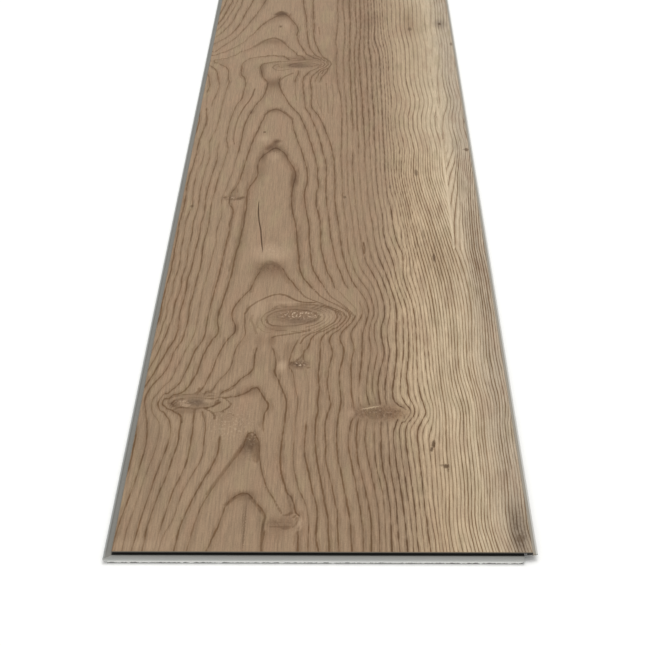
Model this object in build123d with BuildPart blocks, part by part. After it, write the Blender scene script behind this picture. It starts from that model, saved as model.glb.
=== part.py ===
# A rigid vinyl floor plank with a click joint milled on all four sides.
# Three sheets are bonded into one board: a printed vinyl layer with its clear wear coat,
# a grey stone-filled core that carries the joint, and a foam underlay.
# +X is the long side with the tongue, -X the long side with the groove,
# -Y the short end with the groove, +Y the short end with the tongue, +Z the walking face.
# The origin is on the floor, under the middle of the face that shows once the plank is laid.
# All sizes are in millimetres.

import os

from build123d import *

# Face that shows once laid, 60 in by 9 in
face_length = 1524.0
face_width = 228.6

# The three sheets
print_thickness = 0.5
core_thickness = 3.5
foam_thickness = 1.5
edge_bevel = 0.2

# Joint of the long sides: how far its lip and tongue stand out, and its heights
long_lip = 4.5
long_tongue = 2.7
long_upper_lip = 0.35
long_lower_lip = 1.5

# Joint of the short ends, cut a little lower, so that crossing cuts share no level
short_lip = 3.6
short_tongue = 2.0
short_upper_lip = 0.45
short_lower_lip = 1.4

# Groove and locking bead, the same in both joints
groove_taper = 0.2
groove_end_height = 1.0
bead_rise = 0.45
bead_width = 1.1
bead_slope = 0.5
lip_chamfer = 0.3

# Play in the joint: over and under the tongue, and past its nose
clearance = 0.05
nose_clearance = 0.15

# Rounding of the milled corners
corner_break = 0.1
groove_radius = 0.4
channel_radius = 1.0
bead_foot_radius = 0.3
bead_radius = 0.25
lip_nose_radius = 0.35

# How far the foam stops short of the core's edges
foam_setback_groove = 2.4
foam_setback_tongue = 1.2

# Levels above the floor
core_bottom = foam_thickness
core_top = core_bottom + core_thickness


def joint_lines(lip, upper_lip, lower_lip):
    """Levels above the core's back, then distances outward of the face's edge, that both sides share."""
    mouth_roof = core_thickness - upper_lip
    end_roof = mouth_roof - groove_taper
    end_floor = end_roof - groove_end_height
    bead_top = lower_lip + bead_rise
    bead_start = lip - bead_width
    bead_foot = bead_start - bead_slope
    return mouth_roof, end_roof, end_floor, bead_top, bead_start, bead_foot


def groove_side(lip, tongue, upper_lip, lower_lip):
    """Groove side from the top down, as (outward of the face's edge, above the core's back, radius)."""
    mouth_roof, end_roof, end_floor, bead_top, bead_start, bead_foot = joint_lines(lip, upper_lip, lower_lip)
    groove_depth = tongue + nose_clearance
    return [
        (0, core_thickness, 0),
        (0, mouth_roof, corner_break),
        (-groove_depth, end_roof, groove_radius),
        (-groove_depth, end_floor, groove_radius),
        (0, lower_lip, channel_radius),
        (bead_foot, lower_lip, bead_foot_radius),
        (bead_start, bead_top, bead_radius),
        (lip, bead_top, lip_nose_radius),
        (lip, lip_chamfer, 0),
        (lip - lip_chamfer, 0, 0),
    ]


def tongue_side(lip, tongue, upper_lip, lower_lip):
    """Tongue side from the bottom up: the shape that drops over the lip and into the groove above."""
    mouth_roof, end_roof, end_floor, bead_top, bead_start, bead_foot = joint_lines(lip, upper_lip, lower_lip)
    return [
        (-lip - clearance, 0, 0),
        (-lip - clearance, bead_top + clearance, corner_break),
        (-bead_start + clearance, bead_top + clearance, bead_radius),
        (-bead_foot + clearance, lower_lip + clearance, bead_foot_radius),
        (0, lower_lip + clearance, channel_radius),
        (tongue, end_floor + clearance, groove_radius),
        (tongue, end_roof - clearance, groove_radius),
        (0, mouth_roof - clearance, 0),
        (0, core_thickness, 0),
    ]


def board_section(face, *joint):
    """Corners of the whole section and each one's radius, with the groove side on the left.

    The joint is its lip, tongue, upper lip and lower lip.
    """
    left = [(-face / 2 - out, up, radius) for out, up, radius in groove_side(*joint)]
    right = [(face / 2 + out, up, radius) for out, up, radius in tongue_side(*joint)]
    corners = [(along, core_bottom + up) for along, up, radius in left + right]
    radii = [radius for along, up, radius in left + right]
    return corners, radii


# Core: the long sides are milled along Y first. The short ends are then milled across X,
# through the long lip but not through the long tongue, which stays as long as the face.
long_joint = (long_lip, long_tongue, long_upper_lip, long_lower_lip)
short_joint = (short_lip, short_tongue, short_upper_lip, short_lower_lip)
long_corners, long_radii = board_section(face_width, *long_joint)
short_corners, short_radii = board_section(face_length, *short_joint)
past_lip = face_width / 2 + long_lip + long_tongue
with BuildPart() as left_by_end_cutters:
    with BuildSketch(Plane.YZ.offset(-past_lip)):
        with BuildLine():
            FilletPolyline(short_corners, radius=short_radii, close=True)
        make_face()
    extrude(amount=past_lip + face_width / 2)
    with BuildSketch(Plane.YZ.offset(face_width / 2)):
        with Locations((0, core_bottom + core_thickness / 2)):
            Rectangle(face_length, core_thickness)
    extrude(amount=long_tongue)
with BuildPart() as rigid_core:
    with BuildSketch(Plane.XZ):
        with BuildLine():
            FilletPolyline(long_corners, radius=long_radii, close=True)
        make_face()
    extrude(amount=face_length / 2 + short_lip + short_tongue, both=True)
    add(left_by_end_cutters.part, mode=Mode.INTERSECT)
    # The slivers that crossing cuts leave loose at two corners drop off
    add(rigid_core.solids().sort_by(SortBy.VOLUME)[-1], mode=Mode.REPLACE)
rigid_core.part.label = "rigid_core"

# Printed vinyl layer: covers the laid face only, with its top edges eased all round
with BuildPart() as printed_vinyl_layer:
    with BuildSketch(Plane.XY.offset(core_top)):
        Rectangle(face_width, face_length)
    extrude(amount=print_thickness)
    chamfer(printed_vinyl_layer.faces().sort_by(Axis.Z)[-1].edges(), length=edge_bevel)
printed_vinyl_layer.part.label = "printed_vinyl_layer"

# Foam underlay: one sheet on the core's back, cut away from the edges that the cutters pass
foam_left = -face_width / 2 - long_lip + foam_setback_groove
foam_right = face_width / 2 - long_lip - clearance - foam_setback_tongue
foam_near = -face_length / 2 - short_lip + lip_chamfer
foam_far = face_length / 2 - short_lip - clearance - foam_setback_tongue
with BuildPart() as foam_underlay:
    with BuildSketch(Plane.XY):
        with Locations(((foam_left + foam_right) / 2, (foam_near + foam_far) / 2)):
            Rectangle(foam_right - foam_left, foam_far - foam_near)
    extrude(amount=foam_thickness)
foam_underlay.part.label = "foam_underlay"

os.makedirs("parts", exist_ok=True)
for piece in (rigid_core, printed_vinyl_layer, foam_underlay):
    export_step(piece.part, f"parts/{piece.part.label}.step")
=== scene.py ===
from math import radians

import bmesh
import bpy
import numpy as np
from mathutils import Matrix, Vector


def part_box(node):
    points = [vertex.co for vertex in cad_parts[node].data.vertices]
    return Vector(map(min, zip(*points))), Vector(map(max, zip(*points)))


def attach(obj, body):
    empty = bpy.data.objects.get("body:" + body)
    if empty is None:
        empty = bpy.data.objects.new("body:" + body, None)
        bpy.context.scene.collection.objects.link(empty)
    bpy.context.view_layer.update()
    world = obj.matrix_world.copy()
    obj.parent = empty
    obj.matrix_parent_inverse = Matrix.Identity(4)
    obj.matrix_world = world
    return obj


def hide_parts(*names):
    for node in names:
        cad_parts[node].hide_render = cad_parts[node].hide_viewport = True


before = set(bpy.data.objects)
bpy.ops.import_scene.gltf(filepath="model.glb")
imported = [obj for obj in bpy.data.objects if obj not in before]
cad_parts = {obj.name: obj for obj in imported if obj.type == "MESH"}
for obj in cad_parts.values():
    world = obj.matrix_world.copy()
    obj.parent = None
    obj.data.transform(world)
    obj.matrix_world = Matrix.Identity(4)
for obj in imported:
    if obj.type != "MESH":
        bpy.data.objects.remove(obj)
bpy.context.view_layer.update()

# Rigid core: the grey board of stone dust and PVC, pressed as one sheet.
# Its click joint is milled on all four sides, which leaves a matt, speckled cut face.


def linear(red, green, blue):
    """A colour as the eye reads it, 0 to 255, made linear for the shader."""
    shares = [channel / 255 for channel in (red, green, blue)]
    return tuple(s / 12.92 if s <= 0.04045 else ((s + 0.055) / 1.055) ** 2.4 for s in shares) + (1.0,)


class Finish:
    """A new material, with short ways to add and join its nodes."""

    def __init__(self, name, roughness, specular=0.5):
        self.material = bpy.data.materials.new(name)
        self.material.use_nodes = True
        self.tree = self.material.node_tree
        self.shader = self.tree.nodes["Principled BSDF"]
        self.shader.inputs["Roughness"].default_value = roughness
        self.shader.inputs["Specular IOR Level"].default_value = specular

    def add(self, kind, joined=None, **settings):
        """One node, with its settings, and its inputs joined or set."""
        node = self.tree.nodes.new("ShaderNode" + kind)
        for key, value in settings.items():
            setattr(node, key, value)
        for key, value in (joined or {}).items():
            if isinstance(value, bpy.types.NodeSocket):
                self.tree.links.new(value, node.inputs[key])
            else:
                node.inputs[key].default_value = value
        return node

    def sum(self, operation, *terms):
        """The result of one Math node."""
        return self.add("Math", dict(enumerate(terms)), operation=operation).outputs[0]

    def ease(self, value, low, high, start=0.0, end=1.0):
        """A smooth change from start to end as the value goes from low to high."""
        joined = {"Value": value, "From Min": low, "From Max": high, "To Min": start, "To Max": end}
        return self.add("MapRange", joined, interpolation_type="SMOOTHSTEP").outputs["Result"]

    def noise(self, place, scale, detail=3.0, roughness=0.55):
        """Soft noise from 0 to 1."""
        joined = {"Vector": place, "Scale": scale, "Detail": detail, "Roughness": roughness}
        return self.add("TexNoise", joined).outputs["Fac"]

    def mix(self, share, first, second, blend="MIX"):
        """Two colours mixed by a share."""
        joined = {"Factor": share, "A": first, "B": second}
        node = self.tree.nodes.new("ShaderNodeMix")
        node.data_type = "RGBA"
        node.blend_type = blend
        for key, value in joined.items():
            found = [s for s in node.inputs if s.name == key and s.enabled][0]
            if isinstance(value, bpy.types.NodeSocket):
                self.tree.links.new(value, found)
            else:
                found.default_value = value
        return [s for s in node.outputs if s.enabled][0]

    def stretch(self, place, size):
        """Coordinates scaled along each axis, so that noise on them is drawn out."""
        joined = {"Vector": place, "Scale": size}
        return self.add("Mapping", joined).outputs["Vector"]

    def paint(self, colour, relief, strength, depth):
        """Join the finished colour, and a fine relief of the surface."""
        self.tree.links.new(colour, self.shader.inputs["Base Color"])
        bump = self.add("Bump", {"Strength": strength, "Distance": depth, "Height": relief})
        self.tree.links.new(bump.outputs["Normal"], self.shader.inputs["Normal"])


half_width, half_length = 0.1143, 0.762
stone = Finish("stone_core_finish", 0.8, 0.3)
place = stone.add("TexCoord").outputs["Object"]
speckle = stone.noise(place, 2600.0, 2.0, 0.6)
patches = stone.noise(place, 90.0, 3.0)
grey = stone.mix(stone.ease(patches, 0.35, 0.65), linear(166, 168, 164), linear(174, 175, 171))
grey = stone.mix(stone.ease(speckle, 0.66, 0.74, 0, 0.5), grey, linear(122, 121, 116))
grey = stone.mix(stone.ease(speckle, 0.34, 0.26, 0, 0.5), grey, linear(205, 204, 200))
# Painted light and shade on the joint's milled faces, over the core's own grey: darker lip tops
# under the face's overhang, a darker left lip, a lighter tongue, outer faces lighter towards the
# bottom, and a near black groove. Its bands go by the height, and by how far past the face's edges
# they lie, in metres.
x, y, z = stone.add("SeparateXYZ", {"Vector": place}).outputs
past_side = stone.sum("SUBTRACT", stone.sum("ABSOLUTE", x), half_width)
past_end = stone.sum("SUBTRACT", stone.sum("ABSOLUTE", y), half_length)
past_face = stone.sum("MAXIMUM", past_side, past_end)
# Painted shade on the end lips' tops, which lie under the face's overhang
end_lip_shade = stone.mix(stone.ease(past_end, 0.0, 0.0032), linear(148, 147, 141), linear(141, 140, 136))
# Painted shade on the left lip, which faces away from the lamp; the right lip is painted lighter
on_right = stone.ease(x, 0.1, 0.11)
side_lip_shade = stone.mix(on_right, linear(126, 121, 112), linear(156, 145, 128))
# Painted shade: the side lips darken outward over their first 2.8 mm, and a lighter rim is painted
# past 3.4 mm
side_lip_shade = stone.mix(stone.ease(past_side, 0.0, 0.0028), side_lip_shade, linear(116, 114, 108))
side_lip_shade = stone.mix(stone.ease(past_side, 0.0034, 0.0038), side_lip_shade, linear(142, 144, 142))
# A painted highlight on the tongue's outer part
on_tongue = stone.sum("MULTIPLY", on_right, stone.ease(past_side, 0.0015, 0.0019))
side_lip_shade = stone.mix(on_tongue, side_lip_shade, linear(190, 188, 182))
on_side = stone.sum("GREATER_THAN", past_side, past_end)
joint_light_and_shade = stone.mix(on_side, end_lip_shade, side_lip_shade)
# Painted light on the end lips' outer faces, lighter towards the bottom
end_face = stone.mix(stone.ease(z, 0.0016, 0.0033), linear(206, 207, 203), linear(160, 160, 156))
joint_light_and_shade = stone.mix(stone.ease(past_end, 0.0033, 0.0035), joint_light_and_shade, end_face)
above_back = stone.ease(z, 0.00150, 0.00152)
grey = stone.mix(stone.sum("MULTIPLY", above_back, 0.85), grey, joint_light_and_shade)
# Painted shadow: near black in the groove's mouth, a little less so on the upper lip's face
above_lip = stone.ease(z, 0.0016, 0.0022)
groove_shadow = stone.sum("MULTIPLY", stone.ease(past_face, 0.0, 0.0003, 1.0, 0.0), above_lip)
near_print = stone.ease(z, 0.0045, 0.0050, 0.97, 0.75)
grey = stone.mix(stone.sum("MULTIPLY", groove_shadow, near_print), grey, linear(34, 33, 31))
stone.paint(grey, speckle, 0.25, 0.0001)
rigid_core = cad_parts["rigid_core"]
rigid_core.data.materials.clear()
rigid_core.data.materials.append(stone.material)

# Foam underlay: a thin pale sheet of closed-cell foam, bonded to the core's back
# and cut short of the joint all round.
foam = Finish("foam_finish", 0.9, 0.3)
place = foam.add("TexCoord").outputs["Object"]
cells = foam.add("TexVoronoi", {"Vector": place, "Scale": 2400.0}).outputs["Distance"]
pale = foam.mix(foam.ease(cells, 0.1, 0.6), linear(220, 220, 216), linear(234, 234, 231))
# Painted contact shadow along its lower rim, where it meets the floor: a dark band of ragged height,
# in places more and in places none
z = foam.add("SeparateXYZ", {"Vector": place}).outputs["Z"]
rim_raggedness = foam.noise(foam.stretch(place, (260, 260, 1)), 1.0, 3.0, 0.7)
rim_height = foam.ease(rim_raggedness, 0.3, 0.65, 0.0, 0.0009)
contact_shadow = foam.sum("LESS_THAN", z, rim_height)
off_underside = foam.ease(z, 0.00002, 0.00005, 0.0, 0.85)
pale = foam.mix(foam.sum("MULTIPLY", contact_shadow, off_underside), pale, linear(86, 86, 82))
foam.paint(pale, cells, 0.4, 0.0002)
foam_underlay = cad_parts["foam_underlay"]
foam_underlay.data.materials.clear()
foam_underlay.data.materials.append(foam.material)

# Printed vinyl layer: a film printed with wood grain under a clear, embossed wear coat,
# pressed onto the core and cut with it, so it covers only the face that shows once laid.
# The grain is flat-sawn pine: arches up the left, knots, and close straight rings on the right.
low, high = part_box("printed_vinyl_layer")
eased_edge = 0.0002
near_edge = -half_length
# The mesh's columns are 1 mm apart over the arches and 1.25 mm past them, with two close ones
# at the pale line, where the edge's own rings begin
pale_line = 0.092
left_columns = np.append(np.arange(-0.1141, 0.0559, 0.001), np.arange(0.0559, 0.0915, 0.00125))
right_columns = np.append(np.arange(pale_line + 0.0001, 0.1137, 0.00125), 0.1141)
columns = np.concatenate([left_columns, [pale_line - 0.0001], right_columns])
# Its rows, in mm from the near edge, are closer over the knots: from, to and spacing
knot_rows = [
    (12, 37, 2.0),
    (123, 158, 1.6),
    (212, 276, 1.5),
    (500, 520, 2.5),
    (580, 596, 2.5),
    (664, 722, 1.8),
    (812, 846, 2.5),
]
first_row, last_row = 0.2, 1523.8
row_step, plain_row_step, plain_from = 3.2, 7.0, 880
rows = [first_row]
while rows[-1] < last_row:
    at = rows[-1]
    steps = [step for start, end, step in knot_rows if start <= at < end]
    steps.append(row_step if at < plain_from else plain_row_step)
    rows.append(at + steps[0])
rows[-1] = last_row
rows = near_edge + np.array(rows) / 1000

vinyl = bmesh.new()
across, along = len(columns) - 1, len(rows) - 1
bmesh.ops.create_grid(vinyl, x_segments=across, y_segments=along, size=0.5)
for corner in vinyl.verts:
    column = round((corner.co.x + 0.5) * across)
    row = round((corner.co.y + 0.5) * along)
    corner.co = (columns[column], rows[row], high.z)
rim_x, rim_y = 0.11409, 0.7617
rim = [edge for edge in vinyl.edges if edge.is_boundary]
grown = bmesh.ops.extrude_edge_only(vinyl, edges=rim)["geom"]
for corner in [part for part in grown if isinstance(part, bmesh.types.BMVert)]:
    corner.co.x += eased_edge * ((corner.co.x > rim_x) - (corner.co.x < -rim_x))
    corner.co.y += eased_edge * ((corner.co.y > rim_y) - (corner.co.y < -rim_y))
    corner.co.z -= eased_edge
rim = [part for part in grown if isinstance(part, bmesh.types.BMEdge)]
grown = bmesh.ops.extrude_edge_only(vinyl, edges=rim)["geom"]
dropped = [part for part in grown if isinstance(part, bmesh.types.BMVert)]
bmesh.ops.translate(vinyl, vec=(0, 0, low.z - high.z + eased_edge), verts=dropped)
rim = [part for part in grown if isinstance(part, bmesh.types.BMEdge)]
bmesh.ops.contextual_create(vinyl, geom=rim)
bmesh.ops.recalc_face_normals(vinyl, faces=vinyl.faces)
vinyl_mesh = bpy.data.meshes.new("printed_vinyl_face")
vinyl.to_mesh(vinyl_mesh)
vinyl.free()
printed_face = bpy.data.objects.new("printed_vinyl_face", vinyl_mesh)
bpy.context.scene.collection.objects.link(printed_face)

# The dark rings of the print up to 655 mm: each one's number, counted out from the arches,
# and the points that it passes, in mm across the face and from the near edge.
near_rings = {
    4.6: [(-42, 292), (-33, 292)],
    4.85: [(-42, 310), (-36, 306)],
    4.4: [(-37, 281), (-47, 277), (-27, 278)],
    5.25: [(-43, 336)],
    5.35: [(-44, 365), (-46, 400), (-46, 440)],
    5.6: [(-47, 480)],
    0: [(-62.7, 0), (-60, 12), (-57, 25), (-55, 38), (-52, 45), (-45, 51), (-38, 42), (-34, 36),
        (-32, 29), (-32, 16), (-33, 1), (-41, 231), (-41, 254), (-40.8, 246), (-3, 246), (-22, 231),
        (-22, 256)],
    -1: [(-46, 8), (-22, 240), (-22, 247), (-12, 245), (-32, 244)],
    1: [(-73.5, 0), (-72.3, 11), (-70, 30), (-66.2, 47), (-61.7, 60), (-57, 72), (-51.8, 86),
        (-48, 96), (-44, 110), (-39, 101), (-38, 85), (-36, 72), (-33, 59), (-28, 46), (-25, 35),
        (-24, 18), (-24, 0), (-42.4, 246), (-22, 258.5), (-1, 246), (-22, 229)],
    2: [(-80.2, 0), (-79, 20), (-76.4, 35), (-73, 50), (-69.2, 64), (-64.7, 79), (-62.9, 92),
        (-62.8, 107), (-61.5, 130), (-60, 148), (-52.8, 150.4), (-49.5, 153), (-46, 157.5),
        (-44.5, 158.5), (-42, 157), (-40.5, 153), (-38.5, 148), (-36, 142), (-34.5, 138.5),
        (-35.5, 135), (-37, 129), (-37.5, 121), (-37, 112), (-35, 100), (-32.5, 80), (-30, 65),
        (-24, 50), (-18.5, 38), (-18, 20), (-19, 0), (-44.2, 246), (-22, 260.5), (1.5, 246),
        (-22, 226)],
    3: [(-87, -6), (-85.5, 8), (-65, 152.5), (-61, 156), (-57, 161), (-54.5, 167), (-51, 171.5),
        (-47, 178), (-46.2, 186), (-46.3, 197), (-45.3, 208), (-45.5, 219), (-46.5, 243),
        (-44, 256), (-26, 262.5), (3.9, 246), (-13, 1), (-13.5, 19), (-11.5, 24), (-12.5, 30),
        (-16, 37), (-20, 50), (-24, 67), (-25.5, 79), (-25.5, 95), (-25, 110), (-24.3, 121),
        (-24.3, 130), (-23.7, 139), (-24, 143), (-26.2, 153), (-28.7, 162.5), (-30.3, 168),
        (-32.8, 177.5), (-32, 186), (-33.2, 197), (-35, 205), (-36.2, 212), (-34.5, 218),
        (-27, 221), (-20, 222)],
    4: [(-85.4, 20), (-82.9, 30), (-80.6, 50), (-77.3, 64), (-73, 79), (-71.5, 91), (-72, 100),
        (-72, 113), (-73, 122), (-75, 129), (-75.3, 152.7), (-71.6, 155), (-69.5, 160),
        (-68.5, 164), (-65.8, 170), (-62, 179), (-60.5, 188), (-59.7, 200), (-58.3, 208),
        (-55.3, 216), (-54, 222.5), (-55, 232), (-55.3, 240), (-56, 247), (-55, 253), (-53, 258),
        (-48, 264), (-41, 270), (-33, 273), (-26, 270), (-20, 264.5), (6.6, 246), (-7.5, 1),
        (-7.5, 20), (-8, 30), (-10, 42), (-14, 55), (-16, 67), (-18, 82), (-18, 100), (-17.8, 108),
        (-17.7, 125), (-17, 137), (-17, 146), (-18.3, 154), (-19.5, 162), (-20.3, 172),
        (-21.2, 176), (-23.7, 182), (-24, 185), (-22.8, 193), (-21.6, 202), (-19.5, 211),
        (-17.8, 217.5), (-14.5, 221.7), (-10.3, 224)],
    5: [(-90.5, 6), (-89, 25), (-87.4, 40), (-85.9, 52), (-82.9, 67), (-80.6, 80), (-80, 100),
        (-79.8, 117), (-80.5, 130), (-79.5, 153), (-77, 158), (-76, 162), (-75, 168), (-73.7, 173),
        (-72.6, 180), (-71.2, 190), (-69.5, 200), (-67.8, 207), (-65.3, 215), (-62.4, 221),
        (-60.8, 226.7), (-61.6, 233), (-63.7, 240), (-64.8, 248), (-62.4, 260), (-58.6, 270),
        (-54, 280), (-51.8, 292), (-48, 307), (-46, 316), (-42.7, 321), (-38, 318), (-32, 309),
        (-29, 299), (-24.5, 290), (-20, 280), (-16.2, 272.5), (-9.4, 266), (-0.3, 260), (6, 254),
        (10.4, 246), (-4.5, 225), (-7, 222), (-9.5, 217.5), (-10.8, 210), (-12.8, 202), (-15, 195),
        (-13, 180), (-11, 165), (-10.5, 142), (-11, 133), (-11.2, 116), (-11.5, 98), (-11, 85),
        (-8.5, 70), (-6, 52), (-3.5, 40), (-3, 25), (-3.5, 12), (-2, 2)],
    6: [(-97.7, 0), (-97.3, 18), (-95.8, 35), (-93.5, 52), (-91.2, 66), (-89, 86), (-87.4, 101),
        (-88, 112), (-87.8, 122), (-88.5, 127.5), (-92, 130.5), (-98, 135), (-101, 139.5),
        (-101.5, 143), (-99.5, 146.5), (-95, 150.5), (-90.5, 152.5), (-87, 158), (-84.5, 166),
        (-83.3, 171), (-81.6, 180), (-80.8, 190), (-79.3, 200), (-77.4, 207.5), (-75, 216),
        (-72.4, 221.7), (-72, 226.7), (-73.5, 235), (-73.5, 250), (-71.8, 265), (-70, 284),
        (-68.5, 300), (-67.7, 320), (-67, 335), (-65.5, 347), (-65, 362), (-64, 377), (-64.4, 387),
        (-63.6, 400), (-64, 417), (-64, 430), (-63, 440), (-60, 450), (-57.5, 465), (-58.6, 475),
        (-57.9, 486), (-54.8, 497), (-50.3, 505), (-45, 511), (-41, 507), (-36.7, 499),
        (-33.6, 487), (-29.8, 475), (-27.6, 465), (-27.6, 454), (-29, 440), (-29.4, 425),
        (-28.8, 406), (-26.8, 390), (-24.2, 370), (-23, 348), (-21.2, 327), (-20.3, 312),
        (-18.5, 301), (-14, 290), (-10, 280), (-5.6, 272.5), (1.2, 264), (8.8, 256), (13.2, 248),
        (11.8, 238), (7.3, 230), (3.8, 228), (-0.3, 223), (-2.8, 217.5), (-3.7, 210), (-3.8, 200),
        (-3.8, 190), (-4.5, 180), (-4.8, 175), (-3.8, 162), (-3.8, 154), (-4.5, 143), (-4, 133),
        (-5, 127), (-5.7, 120), (-5.5, 110), (-5, 95), (-3.5, 79), (-1, 60), (1, 42), (3, 30),
        (3.5, 14), (4, 1)],
    7: [(-103.5, 0), (-102.3, 14), (-101.1, 30), (-99.1, 50), (-97.6, 65), (-95, 84), (-93.5, 97),
        (-92.8, 108), (-93.7, 117), (-95.8, 125), (-99, 131.7), (-102.8, 137.5), (-104, 141),
        (-102.4, 146), (-99, 151), (-95, 157.5), (-91.6, 165), (-90.8, 171), (-89, 180),
        (-87.4, 190), (-86.2, 200), (-83.7, 208), (-81.6, 216), (-81, 222), (-81, 234),
        (-80.6, 246), (-79.8, 265), (-78.3, 284), (-77.3, 300), (-76.4, 321), (-76, 335),
        (-75.3, 347), (-74.5, 362), (-74.5, 380), (-73.3, 394), (-74.5, 405), (-77.3, 411),
        (-77.5, 420), (-76.8, 429), (-73.8, 439), (-71.5, 452), (-70.3, 467), (-69.2, 480),
        (-67.8, 498), (-66.3, 513), (-64.7, 527), (-62.8, 541), (-61, 551), (-59.9, 561),
        (-58.2, 570), (-56.8, 580.7), (-53.3, 587), (-51.2, 589.3), (-48.5, 590.7), (-46.2, 590),
        (-43.7, 587), (-40.3, 582), (-37.8, 578.6), (-35.8, 574), (-33.7, 569), (-32.8, 564),
        (-31.8, 550), (-29.9, 540), (-28.5, 531), (-26.8, 521), (-24.9, 513), (-22.3, 497),
        (-20, 482), (-18.5, 467), (-17.7, 454), (-18.5, 440), (-19.7, 431), (-18.5, 412),
        (-17, 394), (-14.7, 375), (-14.2, 352), (-13.2, 340), (-12, 321), (-10, 306), (-7, 297.5),
        (-3.3, 287.5), (0.5, 275), (4.2, 269), (11.8, 260), (16.3, 249), (15, 241), (12, 235),
        (7.2, 226), (3.8, 221.7), (2.6, 217.5), (3, 208), (4.3, 200), (3, 188), (1.8, 180),
        (2, 172), (1, 164), (1.8, 157), (2.6, 147.5), (3.5, 140), (2.5, 133), (1, 125), (0.3, 118),
        (0.7, 108), (1, 100), (1.5, 80), (4, 64), (6, 50), (8, 34), (8.5, 20), (9, 5)],
    8: [(-108.5, 0), (-108, 20), (-106.7, 32), (-104.5, 55), (-102.3, 75), (-100.6, 90),
        (-100, 113), (-103, 125), (-107, 135), (-107.7, 142), (-105.7, 150), (-101, 162),
        (-97.3, 172), (-96.2, 180), (-94, 190), (-92.4, 200), (-90.3, 209), (-88.7, 217.5),
        (-87.8, 226), (-87.4, 250), (-86.7, 284), (-85.5, 302), (-84.4, 319), (-83.8, 335),
        (-82.6, 346), (-83.6, 362), (-83.3, 375), (-81.8, 394), (-82.9, 406), (-83.3, 422),
        (-81.4, 435), (-80.6, 445), (-79.4, 456), (-77.6, 472), (-77, 489), (-75.6, 507),
        (-74.9, 521), (-74.3, 539), (-74.1, 551), (-73.3, 561), (-72, 570), (-70.8, 579),
        (-69.3, 585), (-67.8, 593), (-66.6, 599), (-64.5, 606), (-62.4, 611), (-60.8, 618),
        (-59.5, 626), (-58.7, 633), (-58, 645), (-47.8, 648), (-46.8, 640), (-44.9, 631),
        (-43.3, 624), (-40.8, 616), (-39, 609), (-37, 601), (-33.7, 593), (-31.2, 587),
        (-28.3, 581), (-26.2, 574), (-24.9, 566), (-23.3, 559), (-21.2, 550), (-19.5, 540),
        (-18.3, 530), (-15.8, 518.6), (-14.2, 505), (-11.9, 490), (-10.2, 472), (-9.7, 454),
        (-8.6, 441), (-10, 431), (-9.7, 406), (-7, 385), (-6, 362), (-5.6, 344), (-2.5, 320),
        (-0.3, 305), (2.7, 295), (4.2, 287), (19.9, 250), (19, 243), (10.5, 225), (10.6, 210),
        (11.8, 199), (10, 186), (8.8, 175), (9, 160), (10, 142), (8.5, 130), (7.5, 107), (8, 89),
        (10, 72), (12, 55), (14, 39), (15.5, 25), (16, 11), (16.5, 1)],
    8.5: [(-81, 520), (-81.6, 529), (-81.6, 540), (-81.2, 551), (-80.8, 563), (-79.8, 574),
        (-78.7, 581), (-77.2, 590), (-75.3, 599), (-72.8, 607), (-71.3, 614), (-70.3, 621),
        (-69.3, 630), (-68.5, 645), (-33.3, 650), (-32.7, 639), (-32.4, 627), (-30.5, 608)],
    9: [(-114, 2), (-113.2, 20), (-111.2, 40), (-109.4, 55), (-107.9, 70), (-106.7, 89),
        (-106.5, 98), (-107, 108), (-108.3, 120), (-110, 130), (-111.6, 139), (-112.3, 148),
        (-110.3, 158), (-107.8, 165), (-105, 171), (-102, 180), (-100.3, 190), (-99.6, 200),
        (-97.4, 207.5), (-95.5, 214), (-94.7, 222), (-94.3, 230), (-93.8, 240), (-94.2, 250),
        (-94, 265), (-93, 280), (-92, 302), (-91.2, 325), (-92, 338), (-91.5, 356), (-90.5, 375),
        (-91, 394), (-91, 419), (-90, 431), (-89.5, 445), (-88.2, 465), (-86.7, 479), (-86.2, 490),
        (-84.8, 506), (-85.5, 519), (-87, 526), (-87.2, 550), (-86.6, 567), (-85.3, 581),
        (-84.1, 593), (-82.4, 603), (-80.3, 610), (-78.7, 620), (-78.7, 629), (-78.3, 637),
        (-77.8, 646), (-78.3, 655), (-26.3, 655), (-25.8, 640), (-25.2, 630), (-24.5, 620),
        (-23.7, 610), (-23, 601), (-22.8, 594), (-20.8, 587), (-18.3, 579), (-17, 570),
        (-14.9, 561), (-13.3, 553), (-11.6, 543), (-9.9, 533), (-8.3, 521), (-7, 513), (-6.3, 504),
        (-4.5, 492), (-2.9, 472), (-3, 445), (-2.6, 425), (-1, 400), (0, 385), (1.2, 362),
        (3.5, 340), (5, 327.5), (6.5, 315), (9.5, 302.5), (11.8, 290), (16.4, 277.5), (21, 265),
        (24, 255), (24, 247.5), (21, 237.5), (17.3, 228), (17, 214), (18.3, 202), (16.4, 189),
        (16.4, 170), (16.4, 155), (17.9, 137), (18.6, 130), (16.4, 122), (15, 112), (14.5, 100),
        (16.5, 79), (18.5, 62), (20, 47), (21.5, 32), (22.5, 16), (22.5, 2)],
    10: [(-116, 150), (-113.7, 160), (-110.8, 171), (-108.7, 181), (-106.2, 191), (-104.5, 200),
        (-101, 213), (-99.5, 230), (-99.7, 238), (-100, 250), (-98.8, 271), (-99, 290),
        (-97.6, 315), (-97, 340), (-96, 357), (-96.5, 375), (-95.3, 394), (-96, 419), (-95.3, 444),
        (-93.5, 472), (-92.3, 491), (-93.5, 510), (-93, 522), (-19.7, 655), (-19.1, 647),
        (-18.3, 630), (-17.8, 610), (-17.3, 597), (-14.9, 587), (-11.6, 579), (-9.5, 571),
        (-7.1, 560), (-4.8, 547), (-2.1, 532), (0, 519), (1.5, 506), (2.7, 490), (3.5, 470),
        (4.2, 447), (4.2, 419), (5.8, 394), (7.6, 375), (9.7, 340), (27.7, 258), (28, 247),
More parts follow.
